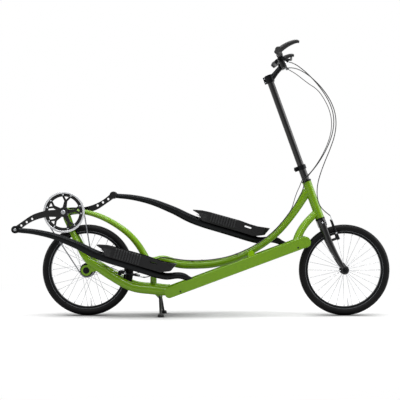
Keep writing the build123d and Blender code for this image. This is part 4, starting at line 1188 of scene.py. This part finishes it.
@dataclass
class DriveArm:
    """One drive arm with its platform: tray, ribs, foot pad, rollers and covers.

    Attributes:
        side: Which side it is on.
        layout: The shared places.
        centre_y: The arm's distance from the plane of symmetry.
        tray_offset: How far the platform's middle is outboard of the arm.
        tray_half_width: Half the platform's width.
        deck: Height of the deck above the arm's line.
        pad_middle: Middle of the foot pad, from the crank pin.
        pad_half_length: Half its length.
        pad_half_width: Half its width.
        hub_half_width: Half the arm's width at the crank pin.
        bolts: Places of the front end's bolts, along the arm's line and above it.
    """

    side: Side
    layout: Layout
    centre_y: float = 100
    tray_offset: float = 3
    tray_half_width: float = 57.5
    deck: float = 24
    pad_middle: float = 648
    pad_half_length: float = 186
    pad_half_width: float = 48
    hub_half_width: float = 14.1
    bolts: Sequence[tuple[float, float]] = ((930, 1.5), (948, 0.42))

    @property
    def body(self) -> str:
        """The body that the arm is."""
        return f"{self.side.word}_arm"

    @property
    def tray_middle(self) -> float:
        """The platform's middle, along Y from the arm's middle."""
        return self.side.value * self.tray_offset

    @property
    def along(self) -> Vector:
        """Direction of the arm's line, from the crank pin to the roller."""
        return (self.layout.rollers[self.side] - self.layout.pins[self.side]).normalized()

    def at(self, p: float, q: float, y: float = 0.0) -> Vector:
        """A point p along the arm's line, q above it and y from the arm's middle."""
        pin = self.layout.pins[self.side]
        return beside(pin, self.along, p, q, self.side.value * self.centre_y + y)

    def arm(self) -> None:
        """Dress the arm and add its washers at the crank pin and the bolts at its front end."""
        dress_node(f"{self.side.word}_drive_arm", BLACK_ANODISED, self.body)
        mesh = bmesh.new()
        for out in SIGNS:
            face = out * self.hub_half_width
            add_washer(mesh, self.at(0, 0), (7.6, 15), (face, face + out * 0.15), 48)
        finish_piece(f"{self.side.word}_arm_washers", mesh, BLACK_ANODISED, self.body)
        mesh = bmesh.new()
        for p, q in self.bolts:
            add_cross_pin(mesh, self.at(p, q), (-7.6, 7.6), 3.6, 16, 0.5)
        finish_piece(f"{self.side.word}_arm_bolts", mesh, BRIGHT_STEEL, self.body)

    def ribs(self) -> None:
        """Add the upright ribs along the tray's walls and the level ones near its rear."""
        mesh = bmesh.new()
        for index in range(10):
            p = 546 + index * 14.4
            for out in SIGNS:
                face = self.tray_middle + out * (self.tray_half_width + 0.6)
                points = [self.at(p, q, face) for q in (7, 11, 55, 59)]
                add_bar(mesh, tapered(points, 3.9, 3.6, 0.6, 5), 16)
        for index in range(6):
            q = 9 + index * 6
            for out in SIGNS:
                face = self.tray_middle + out * (self.tray_half_width - 0.6)
                points = [self.at(p, q, face) for p in (478, 482, 520, 524)]
                add_bar(mesh, tapered(points, 1.3, 1.3, 0.4), 10)
        # The ribs take the greyer nylon, a painted highlight that stands in for light on their faces.
        finish_piece(f"{self.side.word}_platform_ribs", mesh, RIB_HIGHLIGHT_NYLON, self.body)

    def foot_pad(self) -> None:
        """Lay the rounded pad on the deck, with staggered rows of round studs."""
        mesh = bmesh.new()
        middle, steps = self.tray_middle, 48
        outline = []
        for step in range(steps):
            turn = math.tau * step / steps
            reach = bulge(turn, 5)
            p = self.pad_middle + self.pad_half_length * reach * math.cos(turn)
            y = middle + self.pad_half_width * reach * math.sin(turn)
            outline.append(self.at(p, self.deck - 0.4, y))
        add_plate(mesh, outline, self.at(0, 2.4) - self.at(0, 0))
        for row in range(-8, 9):
            for column in range(-2, 3):
                p, y = self.pad_middle + row * 20.5, middle + column * 17 + (4.2 if row % 2 else -4.2)
                add_pin(mesh, self.at(p, self.deck + 1.8, y), self.at(p, self.deck + 4.2, y), 4.6, 10, 1.1)
        finish_piece(f"{self.side.word}_foot_pad", mesh, FOOT_PAD, self.body)

    def platform(self) -> None:
        """Dress the tray and add its ribs, foot pad and screws."""
        word = self.side.word
        dress_node(f"{word}_platform", BLACK_NYLON, self.body)
        self.ribs()
        self.foot_pad()
        mesh = bmesh.new()
        for p in (470, 826):
            for out in SIGNS:
                y = self.tray_middle + out * 30
                add_pin(mesh, self.at(p, self.deck + 0.2, y), self.at(p, self.deck + 2.8, y), 4.2, 18, 0.9)
        finish_piece(f"{word}_platform_screws", mesh, BRIGHT_STEEL, self.body)

    def rollers(self) -> None:
        """Dress the rollers and add their bearing covers."""
        word = self.side.word
        dress_node(f"{word}_roller", URETHANE, f"{word}_roller_pair")
        mesh = bmesh.new()
        for out, corner in zip(SIGNS, box_mm(f"{word}_roller")):
            faces = (corner.y + out * 0.25, corner.y - out * 0.6)
            add_washer(mesh, self.layout.rollers[self.side], (4.4, 11), faces, 40)
        finish_piece(f"{word}_roller_bearings", mesh, SILVER_ALLOY, f"{word}_roller_pair")

    def build(self) -> None:
        """Build the arm, its platform and its rollers."""
        self.arm()
        self.platform()
        self.rollers()


@dataclass
class RimBrake:
    """A linear-pull rim brake: two shaped arms on studs, pads, link wire, noodle and bellows.

    Attributes:
        node: The node that it stands for.
        body: The body that it is fixed to.
        axle: The wheel's centre.
        outward: Direction from the axle to the brake.
        stud: Direction of its pivot studs, away from the fork or stays.
        base: Where the studs start, along stud.
        lift: Where the arms are along stud.
        pivot: Radius of the pivots from the axle.
        pad_radius: Radius of the pads' middle line from the axle.
        top: Radius of the arms' ends.
        pivot_y: Distance of each pivot from the plane of symmetry.
        noodle_y: Where the noodle's outer end is, along Y.
    """

    node: str
    body: str
    axle: Vector
    outward: Vector
    stud: Vector
    base: float
    lift: float
    pivot: float = 172
    pad_radius: float = 201
    top: float = 274
    pivot_y: float = 38
    noodle_y: float = -50

    def at(self, radius: float, above: float, y: float) -> Vector:
        """A point at a radius from the axle, along the studs and across."""
        return self.axle + (self.outward * radius + self.stud * above + LATERAL * y) * MM

    def cable_end(self, gap: float = 0.0) -> Vector:
        """The noodle's outer end, or a point that lies past it by a gap."""
        return self.at(self.top + 24 + gap, self.lift, self.noodle_y)

    def arms(self) -> None:
        """Build both forged arms with their pivot barrels and studs."""
        spine = (
            (self.pivot - 6, self.pivot_y, 7.5, 6.5), (self.pivot + 4, self.pivot_y, 7.8, 7),
            (199, 36.5, 6.6, 6.5), (226, 33.5, 5.2, 4.8), (254, 30, 4.4, 4), (self.top + 3, 28, 4.6, 4.4),
        )
        heights = (self.lift - 8, self.lift + 6, self.base, self.lift)
        mesh = bmesh.new()
        for side in SIGNS:
            stations = []
            for radius, y, up, across in spine:
                stations.append(Station(self.at(radius, self.lift, side * y), up, across, 3.2))
            add_bar(mesh, stations, 20)
            low, high, foot, middle = (self.at(self.pivot, above, side * self.pivot_y) for above in heights)
            add_pin(mesh, low, high, 8.4, 28, 1)
            add_pin(mesh, foot, middle, 5, 20)
        finish_piece(f"{self.node}_arms", mesh, BRAKE_ALLOY, self.body, (self.node,))

    def pads(self) -> None:
        """Build the curved pads, their stems with washers and nuts, and the pivots' bolt heads."""
        rubber, metal = bmesh.new(), bmesh.new()
        stem = self.at(self.pad_radius, self.lift, 0)
        for side in SIGNS:
            stations = []
            for step in range(9):
                swing = math.radians(-6.6 + 1.65 * step)
                reach, rise = self.pad_radius * math.cos(swing), self.pad_radius * math.sin(swing)
                half = 5.2 * (0.62 if step in (0, 8) else 1)
                stations.append(Station(self.at(reach, self.lift + rise, side * 19.6), half, 4, 5))
            add_bar(rubber, stations, 20)
            add_cross_pin(metal, stem, (side * 23.5, side * 45), 3, 18, 0.5)
            for near, far, radius in ((25, 27.5, 7), (27.5, 29.8, 5.6), (41.6, 44.2, 5.2)):
                add_cross_pin(metal, stem, (side * near, side * far), radius, 24, 0.4)
            head, top = (self.at(self.pivot, self.lift + above, side * self.pivot_y) for above in (6, 8.6))
            add_pin(metal, head, top, 5, 6, 0.6)
        finish_piece(f"{self.node}_pads", rubber, TYRE_RUBBER, self.body)
        finish_piece(f"{self.node}_hardware", metal, BRIGHT_STEEL, self.body)

    def linkage(self) -> None:
        """Build the link wire, the ribbed bellows and the bent noodle."""
        reach = self.top - 4
        wire = self.at(reach, self.lift, 0)
        metal, rubber = bmesh.new(), bmesh.new()
        add_cross_pin(metal, wire, (-27, 30), 0.9, 8)
        add_cross_pin(metal, wire, (24, 33), 3.4, 6, 0.5)
        route = [self.at(reach, self.lift, -25)]
        for step in range(9):
            turn = math.radians(90 / 8 * step)
            route.append(self.at(reach + 16 * (1 - math.cos(turn)), self.lift, -34 - 15 * math.sin(turn)))
        route.append(self.cable_end())
        add_bar(metal, [Station(point, 2.5, 2.5) for point in route], 14, self.stud)
        folds = [(self.at(reach, self.lift, -20 + 2 * step), 3.4 if step % 2 else 4.7) for step in range(17)]
        add_bar(rubber, [Station(centre, radius, radius) for centre, radius in folds], 18, self.stud)
        finish_piece(f"{self.node}_noodle", metal, BRIGHT_STEEL, self.body)
        finish_piece(f"{self.node}_bellows", rubber, GRIP_RUBBER, self.body)

    def build(self) -> None:
        """Build the whole brake."""
        self.arms()
        self.pads()
        self.linkage()


@dataclass
class Stand:
    """The two-legged centre stand with rubber feet.

    Attributes:
        foot_x: Where its feet are along the machine.
        foot_y: Distance of each foot from the plane of symmetry.
    """

    foot_x: float = -214.8
    foot_y: float = 120

    def build(self) -> None:
        """Dress the legs and add the feet."""
        dress_node("centre_stand", STAND_STEEL, "stand", Edge.FINE)
        mesh = bmesh.new()
        for side in SIGNS:
            low, high = (mm(self.foot_x, side * self.foot_y, z) for z in (0, 12))
            add_pin(mesh, low, high, 16.5, 32, 1.5)
        finish_piece("stand_feet", mesh, GRIP_RUBBER, "stand")


@dataclass
class Cables:
    """Brake and gear cables, each a route from end to end, with their clips and ferrules.

    Attributes:
        layout: The shared places.
        front_brake: The brake that the front cable ends at.
        rear_brake: The brake that the rear cable ends at.
        brake_radius: Radius of a brake cable's sleeve.
        gear_radius: Radius of a gear cable's sleeve.
        front_run: The front brake's cable, from the left lever down to the fork.
        brake_run: The rear brake's cable, from the right lever down to the head.
        brake_split: Where the rear brake's cable passes from the column to the frame.
        gear_split: Where the gear's cable does so.
        ridge: Places along the main tube's top, each as x and z.
        ridge_y: How far each cable lies from the tube's middle line.
    """

    layout: Layout
    front_brake: RimBrake
    rear_brake: RimBrake
    brake_radius: float = 2.5
    gear_radius: float = 2
    front_run: Sequence[Triple] = (
        (472, 98, 1338), (494, 58, 1331), (520, 20, 1318), (562, -6, 1290), (606, -22, 1250),
        (648, -28, 1202), (684, -30, 1147), (708, -30, 1087), (715, -30, 1023), (706, -30, 958),
        (684, -30, 894), (658, -30, 832), (634, -31, 770), (616, -34, 711), (610, -38, 655),
        (617, -43, 603), (641, -47, 562),
    )
    brake_run: Sequence[Triple] = (
        (474, -104, 1339), (502, -78, 1329), (540, -60, 1304), (583, -52, 1265), (626, -48, 1216),
        (664, -46, 1161), (691, -46, 1102), (702, -46, 1040), (695, -45, 976), (674, -44, 914),
        (645, -44, 856), (612, -44, 804), (576, -42, 760),
    )
    brake_split: Triple = (547, -40, 724)
    gear_split: Triple = (533, -30, 726)
    ridge: Sequence[tuple[float, float]] = (
        (480, 569), (451, 529), (421, 491), (388, 456), (352, 424), (313, 395), (272, 370), (229, 348),
        (184, 329), (139, 314), (92, 304), (44, 297), (-4, 294), (-53, 293), (-100, 295), (-148, 302),
        (-195, 312),
    )
    ridge_y: float = 18

    def sleeve(self, node: str, route: Sequence[Vector], radius: float, body: str | None = None) -> None:
        """Make one cable's sleeve, which stands for the cable's node.

        Args:
            node: The cable's node.
            route: Its points.
            radius: Its radius.
            body: The body that it rides on, or None for one that is attached to no body.
        """
        name = f"{node}_sleeve"
        piece = finish_piece(name, nurbs_tube(name, route, radius), CABLE_SLEEVE, body, (node,), 60)
        if body is None:
            low_end = self.layout.on_steer(560) + UPWARD * 0.2
            high_end = self.layout.on_steer(1080) + UPWARD * 0.1
            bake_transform(piece)

    def bar_cables(self) -> None:
        """Build the three cables that hang from the bar."""
        levers = [self.layout.bar_centre + mm(32, y, 4) for y in (121, -121)]
        low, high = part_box("shifter")
        shifter = Vector((high.x, (low.y + high.y) / 2, low.z)) + mm(-12, 0, 6)
        beside_brake = [(x - 11, -35, z - 11) for x, _, z in self.brake_run[4:]]
        gear_run = [(486, -82, 1290), (520, -60, 1268), (560, -46, 1238), *beside_brake, self.gear_split]
        front = [levers[0], *routed(self.front_run), self.front_brake.cable_end(1.6)]
        rear = [levers[1], *routed([*self.brake_run, self.brake_split])]
        self.sleeve("front_brake_cable", front, self.brake_radius)
        self.sleeve("bar_brake_cable", rear, self.brake_radius)
        self.sleeve("bar_gear_cable", [shifter, *routed(gear_run)], self.gear_radius)

    def frame_cables(self) -> None:
        """Build the two cables along the main tube, with their clips and end ferrules."""
        brake_run = [self.brake_split, (541, -38, 684), (518, -29, 628)]
        brake_run += [(x, -self.ridge_y, z) for x, z in self.ridge]
        brake_run += [(-240, -31, 309), (-252, -38, 270), (-259, -41, 234), (-280, -48, 205)]
        brake = [*routed(brake_run), self.rear_brake.cable_end(1)]
        gear_run = [self.gear_split, (522, -24, 694), (507, -8, 662), (494, 10, 622)]
        gear_run += [(x, self.ridge_y, z) for x, z in self.ridge]
        gear_run += [
            (-240, 31, 308), (-270, 42, 267), (-306, 50, 240), (-350, 54, 222), (-404, 55, 214),
            (-462, 55, 238), (-516, 55, 262), (-560, 55, 262), (-590, 55, 250),
        ]
        gear = routed(gear_run)
        self.sleeve("frame_brake_cable", brake, self.brake_radius, "frame")
        self.sleeve("frame_gear_cable", gear, self.gear_radius, "frame")
        mesh = bmesh.new()
        for route, radius in ((brake, self.brake_radius), (gear, self.gear_radius)):
            for index in (6, 11, 16):
                half_clip = (route[index + 1] - route[index]).normalized() * (5 * MM)
                add_pin(mesh, route[index] - half_clip, route[index] + half_clip, radius + 1.3, 16, 0.6)
            ferrule = (route[-2] - route[-1]).normalized() * (12 * MM)
            add_pin(mesh, route[-1], route[-1] + ferrule, radius + 0.7, 16, 0.4)
        finish_piece("frame_cable_clips", mesh, BLACK_ANODISED, "frame")

    def build(self) -> None:
        """Build every cable."""
        self.bar_cables()
        self.frame_cables()


# ---------------------------------------------------------------------------------- studio


@dataclass
class Studio:
    """Floor, lamps, world and camera, with places and sizes in metres.

    Attributes:
        camera_place: Where the camera stands.
        lens_mm: Its focal length.
        shift: Its sideways and upward shift.
        floor_lift: How much white the camera sees added to the lit floor near the machine.
        floor_half: Half the floor's width.
        contact_reach: How far from the tyres the floor's painted contact shadow spreads.
        fill: Strength of the world's soft fill light.
        lamps: Name, place, size and watts of each area lamp.
    """

    camera_place: Triple = (0.180, -6.1, 0.542)
    lens_mm: float = 102.5
    shift: tuple[float, float] = (-0.09, 0.035)
    floor_lift: float = 1.22
    floor_half: float = 40
    contact_reach: float = 0.34
    fill: float = 0.2
    lamps: Sequence[tuple[str, Triple, tuple[float, float], float]] = (
        ("overhead_softbox", (0.1, -0.5, 4.0), (4.0, 0.9), 112),
        ("near_softbox", (-0.8, -4.0, 3.2), (3.4, 0.5), 64),
        ("back_softbox", (0.4, 3.4, 3.2), (3.0, 0.6), 30),
        ("front_panel", (3.3, -0.1, 1.5), (3.0, 2.2), 70),
        ("rear_panel", (-3.3, 0.2, 1.5), (2.4, 2.2), 34),
    )

    def camera(self) -> None:
        """Stand the camera square to the machine's side."""
        data = bpy.data.cameras.new("side_camera")
        data.lens = self.lens_mm
        data.sensor_width = 36
        data.shift_x, data.shift_y = self.shift
        data.clip_end = 200
        camera = bpy.data.objects.new("side_camera", data)
        camera.location = self.camera_place
        camera.rotation_euler = (math.pi / 2, 0, 0)
        bpy.context.scene.collection.objects.link(camera)
        bpy.context.scene.camera = camera

    def lights(self) -> None:
        """Hang the soft area lamps, all turned to the machine's middle."""
        aim = Vector((0.1, 0, 0.6))
        for name, place, size, watts in self.lamps:
            data = bpy.data.lights.new(name, "AREA")
            data.shape = "RECTANGLE"
            data.size, data.size_y = size
            data.energy = watts
            light = bpy.data.objects.new(name, data)
            light.location = place
            light.rotation_euler = (aim - Vector(place)).to_track_quat("-Z", "Y").to_euler()
            bpy.context.scene.collection.objects.link(light)

    def indirect(self, tree: bpy.types.NodeTree, rays: bpy.types.Node) -> bpy.types.NodeSocket:
        """One for a ray that comes from a shiny or a clear surface, and zero for others."""
        kinds = {"0": rays.outputs["Is Glossy Ray"], "1": rays.outputs["Is Transmission Ray"]}
        return add_node(tree, "ShaderNodeMath", {"operation": "MAXIMUM"}, kinds).outputs[0]

    def world(self) -> None:
        """White to the camera and, overhead, in reflections, and a plain soft fill elsewhere."""
        world = bpy.data.worlds.new("studio_world")
        bpy.context.scene.world = world
        world.use_nodes = True
        tree = world.node_tree
        tree.nodes.clear()
        rays = add_node(tree, "ShaderNodeLightPath")
        fill = add_node(tree, "ShaderNodeBackground", {"Color": linear("#FFFFFF"), "Strength": self.fill})
        white = add_node(tree, "ShaderNodeBackground", {"Color": linear("#FFFFFF"), "Strength": 1.0})
        place = add_node(tree, "ShaderNodeTexCoord").outputs["Generated"]
        height = add_node(tree, "ShaderNodeSeparateXYZ", {}, {"Vector": place}).outputs["Z"]
        rise = {"From Min": -0.05, "From Max": 0.6, "interpolation_type": "SMOOTHSTEP"}
        ceiling = add_node(tree, "ShaderNodeMapRange", rise, {"Value": height}).outputs["Result"]
        both = {"0": self.indirect(tree, rays), "1": ceiling}
        overhead = add_node(tree, "ShaderNodeMath", {"operation": "MULTIPLY"}, both).outputs[0]
        either = {"0": rays.outputs["Is Camera Ray"], "1": overhead}
        share = add_node(tree, "ShaderNodeMath", {"operation": "MAXIMUM"}, either).outputs[0]
        mixed = {"0": share, "1": fill.outputs[0], "2": white.outputs[0]}
        light = add_node(tree, "ShaderNodeMixShader", {}, mixed).outputs[0]
        add_node(tree, "ShaderNodeOutputWorld", {}, {"Surface": light})

    def paper(self) -> bpy.types.Material:
        """Build the floor's paper: lit, darkened by a painted contact shadow near the machine, and plain
        white far away.

        Returns:
            The finished material.
        """
        material = bpy.data.materials.new("studio_floor_paper")
        material.use_nodes = True
        tree = material.node_tree
        tree.nodes.clear()
        grain = add_node(tree, "ShaderNodeTexNoise", {"Scale": 60.0, "Detail": 3.0}).outputs["Fac"]
        tones = {"data_type": "RGBA", "6": linear("#B6B6B6"), "7": linear("#BABABA")}
        tone = add_node(tree, "ShaderNodeMix", tones, {"0": grain}).outputs[2]
        # Ambient occlusion darkens the paper's colour where parts come close: a painted contact shadow, in
        # both the lit paper and its added white.
        near_field = {"Distance": self.contact_reach, "samples": 16}
        openness = add_node(tree, "ShaderNodeAmbientOcclusion", near_field).outputs["AO"]
        limits = {"From Min": 0.42, "From Max": 0.98}
        open_share = add_node(tree, "ShaderNodeMapRange", limits, {"Value": openness}).outputs["Result"]
        shadow = {"data_type": "RGBA", "6": linear("#1C1C1C")}
        colour = add_node(tree, "ShaderNodeMix", shadow, {"0": open_share, "7": tone}).outputs[2]
        lit = add_node(tree, "ShaderNodeBsdfDiffuse", {}, {"Color": colour}).outputs[0]
        white = add_node(tree, "ShaderNodeEmission", {"Color": linear("#FFFFFF"), "Strength": 1.0}).outputs[0]
        extra = {"Strength": self.floor_lift}
        lift = add_node(tree, "ShaderNodeEmission", extra, {"Color": colour}).outputs[0]
        dark = add_node(tree, "ShaderNodeEmission", {"Strength": 0.0}).outputs[0]
        rays = add_node(tree, "ShaderNodeLightPath")
        either = {"0": rays.outputs["Is Camera Ray"], "1": self.indirect(tree, rays)}
        shown = add_node(tree, "ShaderNodeMath", {"operation": "MAXIMUM"}, either).outputs[0]
        seen = add_node(tree, "ShaderNodeMixShader", {}, {"0": shown, "1": dark, "2": lift}).outputs[0]
        near = add_node(tree, "ShaderNodeAddShader", {}, {"0": lit, "1": seen}).outputs[0]
        place = add_node(tree, "ShaderNodeTexCoord").outputs["Object"]
        away = add_node(tree, "ShaderNodeVectorMath", {"operation": "LENGTH"}, {"0": place}).outputs["Value"]
        reach = {"From Min": 1.3, "From Max": 2.8, "interpolation_type": "SMOOTHSTEP"}
        fade = add_node(tree, "ShaderNodeMapRange", reach, {"Value": away}).outputs["Result"]
        far = add_node(tree, "ShaderNodeMath", {"operation": "MULTIPLY"}, {"0": fade, "1": shown}).outputs[0]
        surface = add_node(tree, "ShaderNodeMixShader", {}, {"0": far, "1": near, "2": white}).outputs[0]
        add_node(tree, "ShaderNodeOutputMaterial", {}, {"Surface": surface})
        return material

    def floor(self) -> None:
        """Lay the pale matte floor."""
        mesh = bmesh.new()
        bmesh.ops.create_grid(mesh, x_segments=1, y_segments=1, size=self.floor_half)
        data = bpy.data.meshes.new("studio_floor")
        mesh.to_mesh(data)
        mesh.free()
        data.materials.append(self.paper())
        floor = bpy.data.objects.new("studio_floor", data)
        bpy.context.scene.collection.objects.link(floor)

    def build(self) -> None:
        """Build the studio."""
        bpy.context.scene.view_settings.view_transform = "Standard"
        self.camera()
        self.world()
        self.floor()
        self.lights()


def main() -> None:
    """Build every sub-assembly on the loaded frame."""
    layout = Layout.from_frame()
    LOG.info("front axle %s, rear axle %s", tuple(layout.front_axle), tuple(layout.rear_axle))
    FrameTubes(layout).build()
    for side in Side:
        RollerTrack(side, layout).build()
        DriveArm(side, layout).build()
    Fork(layout).build()
    Cockpit(layout).build()
    Wheel("front", layout.front_axle, 28).build()
    Wheel("rear", layout.rear_axle, 32).build()
    dress_node("rear_sprocket", BLACK_ANODISED, "rear_wheel", Edge.FINE)
    Crankset(layout).build()
    Chain(layout.crank_axle, layout.rear_axle).build()
    steer = (layout.steer_up, layout.steer_ahead)
    front_brake = RimBrake("front_brake", "steering_fork", layout.front_axle, *steer, base=-24, lift=25)
    front_brake.build()
    rear = (layout.rear_brake_out, layout.rear_brake_out.cross(LATERAL))
    rear_brake = RimBrake("rear_brake", "frame", layout.rear_axle, *rear, base=-14, lift=26)
    rear_brake.build()
    Stand().build()
    Cables(layout, front_brake, rear_brake).build()
    Studio().build()


if __name__ == "__main__":
    main()
